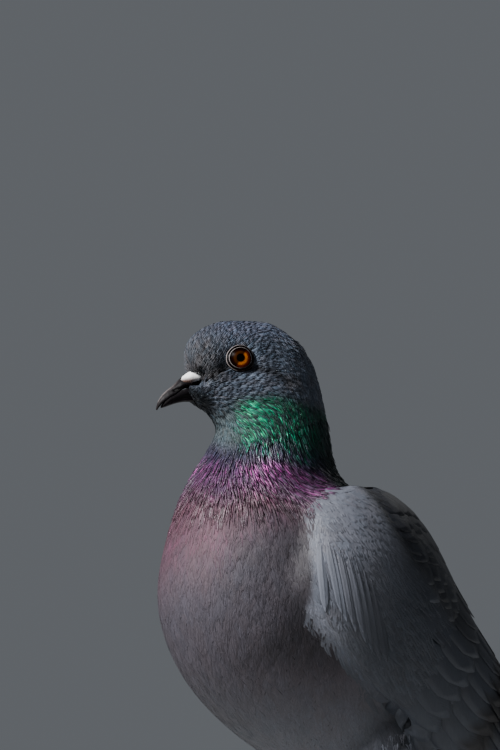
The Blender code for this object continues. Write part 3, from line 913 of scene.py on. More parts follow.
def lie(points, parts):
    """Which way the plumage points at each place, before it is laid on the form."""
    kinds = KINDS[parts]
    sides = SIGNS[parts]
    y, z = points[:, 1], points[:, 2]
    none = np.zeros(len(points))

    def field(*way):
        return np.stack([amount + none for amount in way], axis=1)

    back = mm_step(y + 0.40 * (z - 120 * MM), -98, -20) * mm_step(z, 196, 184)
    away = points - np.array(bill_root)
    reach = np.linalg.norm(away, axis=1)
    away[:, 2] -= 0.25 * reach * mm_step(away[:, 2], 5, -10)
    near = step(reach, *HEAD_REACH) * (kinds == "head")
    ways = blend(unit(field(0, 0.06 + 0.85 * back, -1)), unit(away), near)
    rear = step(y, -95 * MM, 0.0)
    foot = points - np.array(foot_middles)[(sides < 0).astype(int)]
    foot[:, 2] = np.minimum(foot[:, 2], 0.0) - 2 * MM
    rules = {
        "wing": field(-0.10 * sides, 0.52 + 0.30 * rear, -0.84 + 0.26 * rear),
        "flight": field(-0.12 * sides, 0.85, -0.53),
        "tail": field(0, 0.75, -0.66),
        "thigh": field(0, 0.12, -1),
        "shank": field(0, 0, -1),
        "foot": foot,
        "toe": foot,
    }
    for kind, rule in rules.items():
        chosen = kinds == kind
        ways[chosen] = rule[chosen]
    return unit(ways)


foot_middles = [tuple(middle("foot_" + side)) for side in SIDES]
print("feet at, mm:", [[round(value / MM, 1) for value in place] for place in foot_middles])

# %% [markdown]
# ## The pattern of a feather
# A vane is a small grid of faces.  Cutting its lower part along the lines between its columns
# and narrowing each column to a point gives the loose strands in which a soft feather ends.
# Widths, a rounded end and a little thickness finish it.  Wing and tail feathers stay whole and
# get a raised shaft.  A firm vane has a crisp rim, and the fine strands of the head and the neck
# are shaded softly round.  A coat repeats one pattern hundreds of times, so each has few faces.

# %% Make feather patterns
RIM_UPRIGHT = 0.5  # a face that leans more than this belongs to the rim
SHAFT_HALF = 0.02


def vane_pattern(
    strands, rows, cut, thickness, root=0.45, belly=0.6, point=0.5, ragged=0.1, shaft=0.0, blunt=0.0,
    narrow=0.82, crisp=False,
):
    """A vane as places across -1..1, along 0..1 and raised, with faces, rims and loose strands.

    The rows before the cut stay whole.  The vane starts at its root's share of the full width,
    which it has at the belly, and is drawn in to its point or rounded off blunt."""
    form = bmesh.new()
    bmesh.ops.create_grid(form, x_segments=strands, y_segments=rows, size=1.0)
    cut_along = cut / rows
    slits = []
    for edge in form.edges:
        (x0, y0, _), (x1, y1, _) = edge.verts[0].co, edge.verts[1].co
        inner = abs(x0 - x1) < 1e-6 and abs(x0) < 1 - 1e-6
        if inner and (y0 + y1) / 4 + 0.5 > cut_along:
            slits.append(edge)
    bmesh.ops.split_edges(form, edges=slits)
    moves = []
    for vert in form.verts:
        across, along = vert.co.x, (vert.co.y + 1) / 2
        centre = sum(face.calc_center_median().x for face in vert.link_faces) / len(vert.link_faces)
        free = max(along - cut_along, 0.0) / max(1 - cut_along, 1e-6) if cut < rows else 0.0
        strand = int((centre + 1) / 2 * strands)
        if free > 0:
            across = centre + (across - centre) * (1 - narrow * free**1.6)
            along += ragged * free * math.sin(strand * 2.4 + 1.0)
        past = max(along - belly, 0.0) / (1 - belly)
        width = root + (1 - root) * math.sin(min(along / belly, 1.0) * math.pi / 2)
        width *= 1 - point * 0.55 * min(past, 1.1) ** 2
        along -= point * across * across * past * 0.30
        along *= 1 - blunt * (1 - math.sqrt(1 - (0.97 * across) ** 2))
        if shaft:
            across = math.copysign(abs(across) ** 1.7, across) if abs(across) > 1e-6 else 0.0
        moves.append((vert, (across * width, along, 0.0), (strand, free)))
    loose = {}
    for vert, place, kept in moves:
        vert.co = place
        loose[(round(place[0], 5), round(place[1], 5))] = kept
    bmesh.ops.recalc_face_normals(form, faces=form.faces)
    if sum(face.normal.z for face in form.faces) < 0:
        bmesh.ops.reverse_faces(form, faces=form.faces)
    bmesh.ops.solidify(form, geom=form.faces[:], thickness=thickness)
    bmesh.ops.recalc_face_normals(form, faces=form.faces)
    lowest = min(vert.co.z for vert in form.verts)
    for vert in form.verts:
        vert.co.z -= lowest
        if shaft and vert.co.z > thickness / 2 and abs(vert.co.x) < SHAFT_HALF:
            vert.co.z += shaft * (1 - 0.7 * vert.co.y)
    form.verts.index_update()
    form.normal_update()
    places = np.array([vert.co[:] for vert in form.verts])
    keys = [(round(vert.co.x, 5), round(vert.co.y, 5)) for vert in form.verts]
    strand_of = np.array([loose.get(key, (0, 0.0)) for key in keys])
    faces = [[vert.index for vert in face.verts] for face in form.faces]
    rims = [abs(face.normal.z) < RIM_UPRIGHT and (crisp or cut >= rows) for face in form.faces]
    form.free()
    return {
        "places": places,
        "faces": faces,
        "rims": rims,
        "strand": strand_of[:, 0].astype(int),
        "free": strand_of[:, 1],
        "strands": strands,
        "triangles": sum(len(face) - 2 for face in faces),
    }


PATTERNS = {
    "hair": vane_pattern(3, 3, 1, 0.10 * MM, root=0.6, belly=0.4, point=0.3, ragged=0.16),
    "hackle": vane_pattern(4, 4, 1, 0.11 * MM, root=0.5, belly=0.45, point=0.5, ragged=0.16),
    "silk": vane_pattern(5, 4, 1, 0.05 * MM, belly=0.5, point=0.6, ragged=0.25, narrow=0.45, crisp=True),
    "soft": vane_pattern(
        8, 4, 2, 0.02 * MM, root=0.5, belly=0.5, point=0.9, ragged=0.2, narrow=0.2, crisp=True
    ),
    "plume": vane_pattern(
        8, 5, 3, 0.02 * MM, root=0.55, point=0.35, ragged=0.3, blunt=0.2, narrow=0.35, crisp=True
    ),
    "covert": vane_pattern(6, 6, 6, 0.06 * MM, root=0.5, belly=0.55, point=0.12, shaft=0.05 * MM, blunt=0.42),
    "long": vane_pattern(
        6, 14, 14, 0.14 * MM, root=0.35, belly=0.35, point=0.35, shaft=0.24 * MM, blunt=0.12
    ),
    "scale": vane_pattern(2, 2, 2, 0.16 * MM, root=0.8, belly=0.4, point=0.8),
}
print("triangles in a pattern:", {name: pattern["triangles"] for name, pattern in PATTERNS.items()})

# %% [markdown]
# ## Laying feathers
# Each feather is bent over the form.  A walk in small steps along the lie gives the line of its
# shaft, and its width is set out to both sides and drawn onto the form again.  It starts below
# the form and ends a little above it, so that it always lies over the next one, as tiles do.
# All the feathers of a coat are worked out together in arrays.

# %% Write the functions that lay feathers
TRIES = 7  # places looked at for every cell of the spacing
FEW_STEPS, MANY_STEPS, MANY_TRIANGLES = 4, 8, 300


def choose_roots(kinds, spacing, seed, keep=None):
    """Roots spread evenly but irregularly over some parts of the form, and their parts."""
    random = np.random.RandomState(seed)
    corners = np.array([face for face in form_faces if len(face) == 4])
    corners = corners[np.isin(form_kinds[corners[:, 0]], kinds)]
    a, b, c, d = (form_points[corners[:, i]] for i in range(4))
    area = np.linalg.norm(np.cross(c - a, d - b), axis=1) / 2
    spots = random.choice(len(corners), int(area.sum() / spacing**2 * TRIES), p=area / area.sum())
    u, v = random.rand(2, len(spots), 1)
    found = (a[spots] * (1 - u) + b[spots] * u) * (1 - v) + (d[spots] * (1 - u) + c[spots] * u) * v
    owners = form_parts[corners[spots, 0]]
    if keep is not None:
        kept = keep(found)
        found, owners = found[kept], owners[kept]
    cells = {}
    chosen = []
    near = [(i, j, k) for i in (-1, 0, 1) for j in (-1, 0, 1) for k in (-1, 0, 1)]
    squared = spacing * spacing
    for number, (point, cell) in enumerate(zip(found.tolist(), (found // spacing).astype(int).tolist())):
        x, y, z = point
        around = (cells.get((cell[0] + i, cell[1] + j, cell[2] + k), ()) for i, j, k in near)
        others = (other for group in around for other in group)
        if all((x - a) ** 2 + (y - b) ** 2 + (z - c) ** 2 >= squared for a, b, c in others):
            cells.setdefault(tuple(cell), []).append(point)
            chosen.append(number)
    return found[chosen], owners[chosen]


def turned(ways, normals, angles):
    """Directions turned in the surface by an angle for each."""
    cosine, sine = np.cos(angles)[:, None], np.sin(angles)[:, None]
    return unit(ways * cosine + np.cross(normals, ways) * sine)


def walk(roots, parts, lengths, steps, turns):
    """Places, normals and directions along each shaft laid on the form."""
    points = roots
    stops = []
    for _ in range(steps + 1):
        places, normals = lay_on_form(points)
        ways = lie(places, parts)
        ways = unit(ways - normals * (ways * normals).sum(axis=1, keepdims=True))
        ways = turned(ways, normals, turns)
        stops.append((places, normals, ways))
        points = places + ways * (lengths / steps)[:, None]
    return [np.stack(column, axis=1) for column in zip(*stops)]


def lay_feathers(pattern, roots, parts, size, heights, turns, tilt, sway, ruffle, hug):
    """Vertex positions of every feather of a coat, and the form's normals there."""
    lengths, widths = size
    steps = MANY_STEPS if pattern["triangles"] > MANY_TRIANGLES else FEW_STEPS
    places, normals, ways = walk(roots, parts, lengths, steps, turns)
    flat = np.column_stack([pattern["places"][:, :2], pattern["strand"], pattern["free"]])
    unique, back = np.unique(np.round(flat, 5), axis=0, return_inverse=True)
    back = back.ravel()
    across, along, strand, free = unique.T
    strand = strand.astype(int)
    at = np.clip(along, 0.0, 1.0) * steps
    index = np.minimum(at.astype(int), steps - 1)
    part = (at - index)[None, :, None]
    beyond = np.maximum(along - 1.0, 0.0)[None, :, None] * lengths[:, None, None]
    between = [stops[:, index] * (1 - part) + stops[:, index + 1] * part for stops in (places, normals, ways)]
    centre, normal, way = between[0], unit(between[1]), unit(between[2])
    side = unit(np.cross(way, normal))
    out = (across[None] + sway[:, strand] * free[None]) * widths[:, None] / 2
    laid = centre + way * beyond + side * out[..., None]
    if hug:
        on_form, own = lay_on_form(laid.reshape(-1, 3))
        laid, normal = on_form.reshape(laid.shape), unit(normal + own.reshape(laid.shape))
    low, high, arch = heights
    rise = np.clip(along, 0.0, 1.1)[None]
    lift = low[:, None] + (high - low)[:, None] * rise - arch * across[None] ** 2
    lift = lift + ruffle[:, strand] * free[None] + tilt[:, None] * across[None]
    laid = laid + normal * lift[..., None]
    raised = pattern["places"][:, 2]
    outward = np.where(raised > raised.mean(), 1.0, -1.0)
    facing = normal[:, back] * outward[None, :, None]
    return laid[:, back] + normal[:, back] * raised[None, :, None], facing


# %% [markdown]
# ## Joining a coat
# A joined coat carries what its material and later uses need: Tint and Sheen for every vertex,
# the UV map Vane that says where on its own feather a point is, and the UV map OFBake.  In the
# last one each feather is a tiny patch, placed where its root lies on an unwrap of the skin:
# the angle round the body and the distance along it, stretched to fill the square.  Thin vanes
# that lie close also share the form's normals, so that the breast and the wing are lit as one
# soft surface.

# %% Join feathers into a piece
PATCH = 0.003
UNWRAP_AXIS = np.array((0.0, 0.55, -0.835))
DARK_END, TIP_START = 0.62, 0.82  # along a feather, where its dark root ends and its pale tip starts
RARE = 3.0  # the higher, the fewer strands are vivid
coat_triangles = {}


def unwrap(roots):
    """Where each root lies on an unwrap of the skin: round the body and along it."""
    away = roots - np.median(roots, axis=0)
    around = np.arctan2(away[:, 0], away @ np.cross(UNWRAP_AXIS, (1.0, 0.0, 0.0)) + 1e-9)
    square = np.stack([around, away @ UNWRAP_AXIS], axis=1)
    low, high = square.min(0), square.max(0)
    return (square - low) / np.maximum(high - low, 1e-6) * (1 - 4 * PATCH) + 2 * PATCH


def join_feathers(name, pattern, laid, facing, roots, parts, look, material):
    """Make one mesh of all the feathers of a coat, with its attributes and UV maps."""
    count, size = laid.shape[:2]
    points = laid.reshape(-1, 3)
    corners = np.concatenate([np.array(face) for face in pattern["faces"]])
    sides = np.array([len(face) for face in pattern["faces"]])
    all_corners = (corners[None] + (np.arange(count) * size)[:, None]).ravel()
    all_sides = np.tile(sides, count)
    mesh = bpy.data.meshes.new(name)
    mesh.vertices.add(len(points))
    mesh.vertices.foreach_set("co", points.ravel())
    mesh.loops.add(len(all_corners))
    mesh.loops.foreach_set("vertex_index", all_corners)
    mesh.polygons.add(len(all_sides))
    mesh.polygons.foreach_set("loop_start", np.concatenate([[0], np.cumsum(all_sides)[:-1]]))
    mesh.update(calc_edges=True)
    mesh.shade_smooth()
    flat_faces = mesh.attributes.new("sharp_face", "BOOLEAN", "FACE")
    flat_faces.data.foreach_set("value", np.tile(np.array(pattern["rims"]), count))

    even = np.repeat(look["even"], size)[:, None]
    if even.any():
        own = read_numbers(mesh.vertices, "normal", 3)
        mesh.normals_split_custom_set_from_vertices(unit(own * (1 - even) + facing.reshape(-1, 3) * even))

    places = pattern["places"]
    along = np.tile(places[:, 1], count)
    owner = np.repeat(np.arange(count), size)
    strand = np.tile(pattern["strand"], count)
    free = np.tile(pattern["free"], count) > 0
    by_strand = (look["vivid"], look["shade"])
    vivid, shade = (np.where(free, value[owner, strand], value[owner].mean(axis=1)) for value in by_strand)
    shade = shade * (1 - look["dark"] * step(along, DARK_END, 0.0))
    shade = shade * (1 + look["tip"] * step(along, TIP_START, 1.0))
    tint = markings(points, parts[owner], vivid)
    grey = tint.mean(axis=1, keepdims=True)
    hue = look["hue"][owner][:, None] * np.array((1.0, -0.1, -0.9))
    set_colour(mesh, "Tint", np.clip(tint * shade[:, None] + grey * hue, 0.0, 1.0))
    set_float(mesh, "Sheen", np.clip(vivid * look["sheen"][owner], 0.0, 1.0))

    local = np.stack([places[:, 0] / 2, places[:, 1] - 0.5], axis=1)
    bake = unwrap(roots)[owner] + np.tile(local, (count, 1)) * PATCH
    vane = np.stack([np.tile(places[:, 0] * 0.49 + 0.5, count) + owner, along], axis=1)
    for label, values in (("OFBake", bake), ("Vane", vane)):
        layer = mesh.uv_layers.new(name=label)
        layer.data.foreach_set("uv", values[all_corners].ravel())
    add_piece(name, mesh, material)
    coat_triangles[name] = count * pattern["triangles"]
    print(name + ":", count, "feathers,", coat_triangles[name], "triangles")


def lay_coat(name, pattern_name, roots, parts, rules, material, seed, hug=True):
    """Lay and join one coat.  The rules give each feather's size, height and look."""
    pattern = PATTERNS[pattern_name]
    random = np.random.RandomState(seed)
    count = len(roots)

    def each(low, high):
        return random.uniform(low, high, count)

    none = np.zeros(count)
    given = {"arch": 0.0, "turn": random.normal(0, 0.08, count), "tilt": none, "sway": 0.12}
    given.update({"ruffle": 0.15 * MM, "dark": 0.45, "tip": 0.12, "shade": (0.75, 1.25)})
    given.update({"shadow": each(0.9, 1.1), "vivid": none[:, None], "sheen": none, "hue": each(-0.03, 0.03)})
    given.update({"calm": none + 1, "even": none})
    given.update(rules(roots, each))
    strands = pattern["strands"]
    sway = random.normal(0, given["sway"], (count, strands))
    ruffle = random.uniform(-0.4, 1.0, (count, strands)) * given["ruffle"]
    heights = (given["low"], given["high"], given["arch"])
    size = (given["length"], given["width"])
    turn, tilt = given["turn"], given["tilt"]
    laid, facing = lay_feathers(pattern, roots, parts, size, heights, turn, tilt, sway, ruffle, hug)
    shade = random.uniform(*given["shade"], (count, strands))
    shade = (1 + (shade - 1) * given["calm"][:, None]) * given["shadow"][:, None]
    vivid = given["vivid"] * random.rand(count, strands) ** RARE
    look = {**given, "shade": shade, "vivid": vivid}
    join_feathers(name, pattern, laid, facing, roots, parts, look, material)


print("ready to lay feathers")

# %% [markdown]
# ## The head
# The face has the smallest feathers on the bird, almost hairs.  They leave the eye and the bill
# free, and each is a little lighter or darker than its neighbours, which draws the fine streaks
# of a pigeon's cheek and crown.  A few stand up at the back of the crown.

# %% Feather the head
LID_RADIUS = 3.4 * MM
head_finish = plumage_material("head_plumage", 0.58, 8.0, 0.20)


def clear_of_eyes(points):
    """True for each place that is not on an eye or its lids."""
    free = np.ones(len(points), dtype=bool)
    for sign in SIDES.values():
        _back, _up, out, centre = eye_frame(sign)
        away = points - np.array(centre)
        reach = away @ np.array(out)
        far = np.linalg.norm(away - np.outer(reach, out), axis=1)
        free &= (reach < 0) | (far > LID_RADIUS)
    return free


def head_rules(roots, each):
    """Short streaks that get longer towards the neck."""
    neckward = mm_step(roots[:, 2], 218, 204)
    front = mm_step(np.linalg.norm(roots - np.array(bill_root), axis=1), 16, 8)
    green = step(roots[:, 2], NECK_TOP + 2 * MM, NECK_TOP - 5 * MM)
    forward, above, _side = head_places(roots)
    loose = np.exp(-(((forward + 18.5 * MM) / (3 * MM)) ** 2) - ((above - 8 * MM) / (3 * MM)) ** 2)
    return dict(
        length=(3.6 + 2.4 * neckward - 1.3 * front) * MM * each(0.85, 1.2),
        width=(1.45 + 0.6 * neckward - 0.3 * front) * MM * each(0.85, 1.1),
        low=-0.34 * MM * each(0.8, 1.2),
        high=each(0.02, 0.10) * MM + 1.1 * MM * loose * each(0.2, 1.0), ruffle=0.10 * MM, sway=0.14,
        # vivid: painted glints where the head's feathers reach the green of the neck
        shade=(0.78, 1.22), shadow=each(0.90, 1.12), dark=0.36, vivid=green[:, None] * 0.8,
        sheen=green, hue=each(-0.07, 0.10),
    )


roots, owners = choose_roots(["head"], 0.92 * MM, 21, clear_of_eyes)
crown = roots[:, 2] > head_middle.z - 1.0 * MM
for name, part, seed in (("crown_feathers", crown, 31), ("cheek_feathers", ~crown, 32)):
    lay_coat(name, "hair", roots[part], owners[part], head_rules, head_finish, seed)

# %% [markdown]
# ## The neck
# Neck feathers are hackles that end in narrow strands with dark gaps between them.  Only some
# strands are vivid, green above and purple below: their iridescent colour with painted glints,
# which is why the colour sparkles.  At the base of the neck finer silkier feathers lead over into
# the breast.  Their upper limit is uneven, so that no line shows.

# %% Feather the neck
neck_finish = plumage_material("neck_plumage", 0.40, 8.0, 0.18)
body_finish = plumage_material("body_plumage", 0.62, 12.0, 0.16)


def neck_rules(roots, each):
    """Hackles, the most vivid ones at the side of the upper neck."""
    height = roots[:, 2]
    front = roots[:, 1] - NECK_AXIS
    upper = step(height, PURPLE_END - 8 * MM, PURPLE_END + 6 * MM)
    # how vivid the strands are: iridescent colour with painted glints
    painted_glints = step(height, PURPLE_END - 12 * MM, PURPLE_END) * (0.35 + 0.65 * mm_step(front, -26, -10))
    painted_glints = painted_glints * (1 - 0.55 * step(height, GREEN_END, GREEN_END - 8 * MM))
    painted_glints = painted_glints * (1 - 0.85 * mm_step(front, 4, 20))
    return dict(
        length=each(6.2, 8.4) * MM, width=each(2.1, 2.9) * MM,
        low=(-0.25 - 0.45 * upper) * MM * each(0.8, 1.2),
        high=each(0.03, 1.0) * (0.05 + 0.29 * upper) * MM,
        ruffle=(0.03 + 0.29 * upper)[:, None] * MM, sway=0.20, shade=(0.45, 1.45),
        calm=0.15 + 0.85 * upper, even=0.85 - 0.6 * upper, shadow=each(0.86, 1.14), dark=0.52,
        tip=0.16, vivid=painted_glints[:, None], sheen=0.4 + 0.4 * upper, hue=each(-0.05, 0.05),
    )


roots, owners = choose_roots(["neck"], 1.55 * MM, 22)
base = roots[:, 2] < PURPLE_END + np.random.default_rng(40).uniform(-6.0, 5.0, len(roots)) * MM
lay_coat("neck_feathers", "hackle", roots[~base], owners[~base], neck_rules, neck_finish, 33)
lay_coat("neck_base", "silk", roots[base], owners[base], neck_rules, body_finish, 39)

# %% [markdown]
# ## Breast, belly and back
# Body feathers are broad and soft.  Their ends are loose strands that close over each other, so
# the breast looks smooth and only finely streaked.  They also cover the wing's front edge, where
# the wing is tucked into the breast.  On the back they are larger and firmer.

# %% Feather the trunk
back_finish = plumage_material("back_plumage", 0.55, 26.0, 0.16, fringe=0.25)


def covered_by_wing(points):
    """True for each trunk place that a wing lies on."""
    hidden = np.zeros(len(points), dtype=bool)
    for side, sign in SIDES.items():
        low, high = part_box("wing_" + side)
        inside = (points[:, 1] > low.y) & (points[:, 2] < high.z) & (points[:, 0] * sign > 12 * MM)
        hidden |= inside & np.array([under_part(point, sign) for point in points])
    return hidden


def under_part(point, sign):
    """True if rays from a place out to its side and upward both meet the form again."""
    aside = Vector(point) + Vector((sign * 1.5 * MM, 0.0, 0.0))
    above = Vector(point) + Vector((0.0, 0.0, 1.5 * MM))
    inward = Vector((-0.3 * sign, 0.0, 1.0)).normalized()
    found = form_tree.ray_cast(aside, Vector((sign, 0.0, 0.0)))[0], form_tree.ray_cast(above, inward)[0]
    return None not in found


def body_rules(roots, each):
    """Small at the neck and larger below."""
    small = mm_step(roots[:, 2], 148, 182)
    # painted glints on the breast, most near the neck
    painted_glints = 0.32 * step(roots[:, 2], PURPLE_END - 22 * MM, PURPLE_END - 2 * MM) + 0.10
    return dict(
        length=(11.0 - 2.6 * small) * MM * each(0.8, 1.2),
        width=(5.6 - 1.6 * small) * MM * each(0.8, 1.2), even=np.full(len(roots), 0.8),
        low=-0.15 * MM * each(0.8, 1.2), high=each(0.0, 0.03) * MM, ruffle=0.02 * MM, sway=0.06,
        shade=(0.89, 1.11), shadow=each(0.94, 1.06), dark=0.06, tip=0.03, vivid=painted_glints[:, None],
        sheen=0.55 * small, hue=each(-0.03, 0.04),
    )


def back_rules(roots, each):
    """Broad firm feathers between the wings and over the rump."""
    rump = mm_step(roots[:, 1], 5, 30)
    return dict(
        length=(13.0 + 3.0 * rump) * MM * each(0.9, 1.15),
        width=(8.5 + 1.5 * rump) * MM * each(0.9, 1.1), low=-0.5 * MM * each(0.8, 1.2),
        high=each(0.10, 0.25) * MM, arch=0.08 * MM, shade=(0.95, 1.05), shadow=each(0.9, 1.1),
        dark=0.35, tip=0.10,
    )


def before_wing(points):
    """True for each wing place in front of the edge of the wing's plumage."""
    return behind_edge(points) < 0.8 * MM


roots, owners = choose_roots(["trunk"], 2.05 * MM, 23)
shown = ~covered_by_wing(roots)
edge_roots, edge_owners = choose_roots(["wing"], 2.05 * MM, 24, before_wing)
roots, owners = np.concatenate([roots[shown], edge_roots]), np.concatenate([owners[shown], edge_owners])
above = (roots[:, 1] - NECK_AXIS > 18 * MM) & (roots[:, 2] > 95 * MM + (40 * MM - roots[:, 1]) * 0.3)
front = ~above & (roots[:, 2] > 140 * MM)
under = ~above & ~front
lay_coat("breast_feathers", "soft", roots[front], owners[front], body_rules, body_finish, 34)
for side, sign in SIDES.items():
    half = under & (roots[:, 0] * sign >= 0)
    lay_coat("belly_" + side, "soft", roots[half], owners[half], body_rules, body_finish, 35)
lay_coat("back_feathers", "covert", roots[above], owners[above], back_rules, back_finish, 36)

# %% [markdown]
# ## The thighs
# Short loose feathers run down the thigh and stop at the ankle.

# %% Feather the thighs


def thigh_rules(roots, each):
    """Shorter towards the ankle."""
    return dict(
        length=(5.0 + 3.0 * mm_step(roots[:, 2], 36, 60)) * MM * each(0.9, 1.1),
        width=4.2 * MM * each(0.9, 1.1), low=-0.8 * MM * each(0.8, 1.2), high=each(0.05, 0.4) * MM,
        shade=(0.85, 1.15), dark=0.35,
    )


roots, owners = choose_roots(["thigh"], 2.7 * MM, 24)
lay_coat("thigh_feathers", "soft", roots, owners, thigh_rules, body_finish, 37)

# %% [markdown]
# ## The wings
# A folded wing is a stack: small coverts over its shoulder, longer ones behind, then two rows of
# broad coverts, and last the long quills.  The black bars cross them.  The small coverts are
# spread at random.  The long feathers stand in rows, each lying partly over the one below it, so
# their roots are found by looking at the wing from its side.

# %% Feather the wings' shoulders
wing_finish = plumage_material("wing_plumage", 0.52, 30.0, 0.10, fringe=0.14)
quill_finish = plumage_material("quill_plumage", 0.46, 90.0, 0.14, fringe=0.18)


def covert_rules(roots, each):
    """Coverts that grow from the wrist backwards."""
    along = along_wing(roots)
    grown = mm_step(along, 6, 75)
    return dict(
        length=(9.0 + 10.0 * grown) * MM * each(0.92, 1.1),
        width=(7.4 + 5.4 * grown) * MM * each(0.92, 1.08), even=np.full(len(roots), 0.55),
        low=-0.05 * MM * each(0.8, 1.2), high=0.08 * grown * MM + each(0.0, 0.01) * MM,
        arch=0.01 * MM, turn=each(-0.16, 0.16), ruffle=0.02 * MM, sway=0.05, shade=(0.88, 1.10),
        shadow=each(0.82, 1.12), dark=0.15, tip=0.05, hue=each(-0.02, 0.03),
    )


def before_rows(points):
    """True for each wing place before the rows of long feathers and below the scapulars."""
    outer = (over_scapulars(points) < 1 * MM) & (np.abs(points[:, 0]) > 24 * MM)
    return outer & (along_wing(points) < 74 * MM) & (behind_edge(points) > 0)


roots, owners = choose_roots(["wing"], 2.9 * MM, 25, before_rows)
thin = np.random.RandomState(26).rand(len(roots)) > 0.45 * mm_step(along_wing(roots), 25, 60)
lay_coat("small_coverts", "plume", roots[thin], owners[thin], covert_rules, wing_finish, 38)

# %% [markdown]
# Rows are set out in the wing's own side view: a distance along it and a distance across it.
# A ray from the side finds the place on the wing's outer face.

# %% Set out rows of long feathers
ROW_SEARCH = np.arange(60 * MM, 170 * MM, 0.5 * MM)


def on_wing(sign, along, across):
    """The place on a wing's outer face at distances along and across it and its part, or None."""
    y, z = (WING_AXIS * (along + WING_START) + WING_ACROSS * across)[1:]
    hit, _normal, index, _distance = form_tree.ray_cast(Vector((sign * 0.1, y, z)), Vector((-sign, 0.0, 0.0)))
    if hit is None:
        return None
    part = form_parts[form_faces[index][0]]
    return (np.array(hit), part) if KINDS[part] in ("wing", "flight") else None


def met(tries):
    """The roots, parts and ranks of the places that were met, as arrays."""
    found = [(*place, rank) for place, rank in tries if place is not None]
    return [np.array(column) for column in zip(*found)]


def wing_row(along, count, inset):
    """Roots across both wings at one distance along, from the lower edge to the upper edge."""
    tries = []
    for sign in SIDES.values():
        edge = [across for across in ROW_SEARCH if on_wing(sign, along, across) is not None]
        low, high = edge[0] + inset[0] * MM, edge[-1] - inset[1] * MM
        places = [low + (high - low) * rank / (count - 1) for rank in range(count)]
        tries += [(on_wing(sign, along, across), rank / (count - 1)) for rank, across in enumerate(places)]
    return met(tries)


def lay_row(
    name, row, pattern, material, seed, length, width, high,
    low=-0.3, tilt=0.3, stack=0.0, fan=(0.0, 0.0), shadow=(0.95, 1.05), hug=False,
):
    """Lay one row of long feathers on both wings, each partly over the one below it.

    A length or width is that of the lowest feather and how much the highest has more."""
    roots, parts, ranks = row
    signs = SIGNS[parts]

    def rules(roots, each):
        return dict(
            length=(length[0] + length[1] * ranks) * MM * each(0.985, 1.015),
            width=(width[0] + width[1] * ranks) * MM, low=np.full(len(roots), low * MM),
            high=(high + stack * ranks) * MM, arch=0.12 * MM,
            turn=signs * (fan[0] + (fan[1] - fan[0]) * ranks) + each(-0.015, 0.015),
            tilt=signs * tilt * MM, shade=(0.98, 1.02), shadow=each(*shadow), dark=0.25, tip=0.06,
            hue=each(-0.015, 0.02),
        )

    lay_coat(name, pattern, roots, parts, rules, material, seed, hug=hug)


lay_row(
    "primaries", wing_row(132 * MM, 7, (2, 3)), "long", quill_finish, 41,
    length=(62, 18), width=(12, -2), high=0.10, stack=-0.1, tilt=0.25, fan=(0.06, -0.06),
)
lay_row(
    "secondaries", wing_row(88 * MM, 9, (1, 12)), "long", quill_finish, 42,
    length=(66, -4), width=(13, 0), high=0.45, low=-0.4, fan=(0.03, -0.02),
)
lay_row(
    "tertials", wing_row(80 * MM, 4, (34, 3)), "long", quill_finish, 43,
    length=(66, 3), width=(19, 0), high=0.80, stack=0.4, tilt=0.35, low=-0.4,
)
lay_row(
    "greater_coverts", wing_row(72 * MM, 10, (1, 3)), "covert", wing_finish, 44,
    length=(29, -1), width=(13, 0), high=1.00, tilt=0.28, stack=0.3, low=-0.4, hug=True,
)
lay_row(
    "median_coverts", wing_row(56 * MM, 11, (1, 3)), "covert", wing_finish, 45,
    length=(24, -1), width=(12, 0), high=0.70, tilt=0.22, stack=0.3, low=-0.5, hug=True,
)

# %% [markdown]
# Along the lower front edge of the wing a few long narrow coverts hang straight down over the
# flank.  They are what breaks the smooth shoulder below.

# %% Hang the edge coverts
EDGE_COUNT = 12
EDGE_STEP = 1.7 * MM
EDGE_START = (4.5 * MM, 97.0 * MM)


def edge_row():
    """Roots in a slanting line over the front lower edge of both wings."""
    tries = []
    for sign in SIDES.values():
        for rank in range(EDGE_COUNT):
            along, across = EDGE_START[0] + EDGE_STEP * rank, EDGE_START[1] - (0.5 * rank - rank % 2) * MM
            tries.append((on_wing(sign, along, across), rank / (EDGE_COUNT - 1)))
    return met(tries)


lay_row(
    "edge_coverts", edge_row(), "long", wing_finish, 46,
    length=(26, 4), width=(3.7, 0.6), high=0.22, tilt=0.10, low=-0.2, fan=(-0.30, -0.34),
    shadow=(0.90, 1.06), hug=True,
)

# %% [markdown]
# The scapulars grow from the shoulder of the back and lie over the wing's upper edge.  They
# bridge the hollow between back and wing, and their thin pale edges show on the dark back,
# whose grey is deepened by painted shade.

# %% Feather the shoulders of the back
scapular_finish = plumage_material("scapular_plumage", 0.52, 28.0, 0.12, fringe=0.3)


def scapular_rules(roots, each):
    """Broad loose feathers that follow the wing."""
    return dict(
        length=each(15.0, 20.0) * MM, width=each(10.0, 12.0) * MM, low=-0.3 * MM * each(0.8, 1.2),
        high=each(0.06, 0.14) * MM, arch=0.04 * MM, turn=each(-0.1, 0.1), shade=(0.97, 1.03),
        shadow=each(0.85, 1.15), dark=0.3, tip=0.15,
    )


def on_shoulder(points):
    """True for each place that the scapulars grow from."""
    along = along_wing(points)
    band = (over_scapulars(points) > -1 * MM) | (np.abs(points[:, 0]) < 27 * MM)
    band &= (along > 2 * MM) & (along < 84 * MM)
    return band & (np.abs(points[:, 0]) > 10 * MM) & ~covered_by_wing(points)


roots, owners = choose_roots(["wing"], 3.8 * MM, 29, on_shoulder)
lay_coat("scapulars", "covert", roots, owners, scapular_rules, scapular_finish, 47)

# %% [markdown]
# ## The tail
# Twelve long feathers fold over each other with the middle pair on top.  Eight more lie under
# them, and short coverts hide the roots above and below.

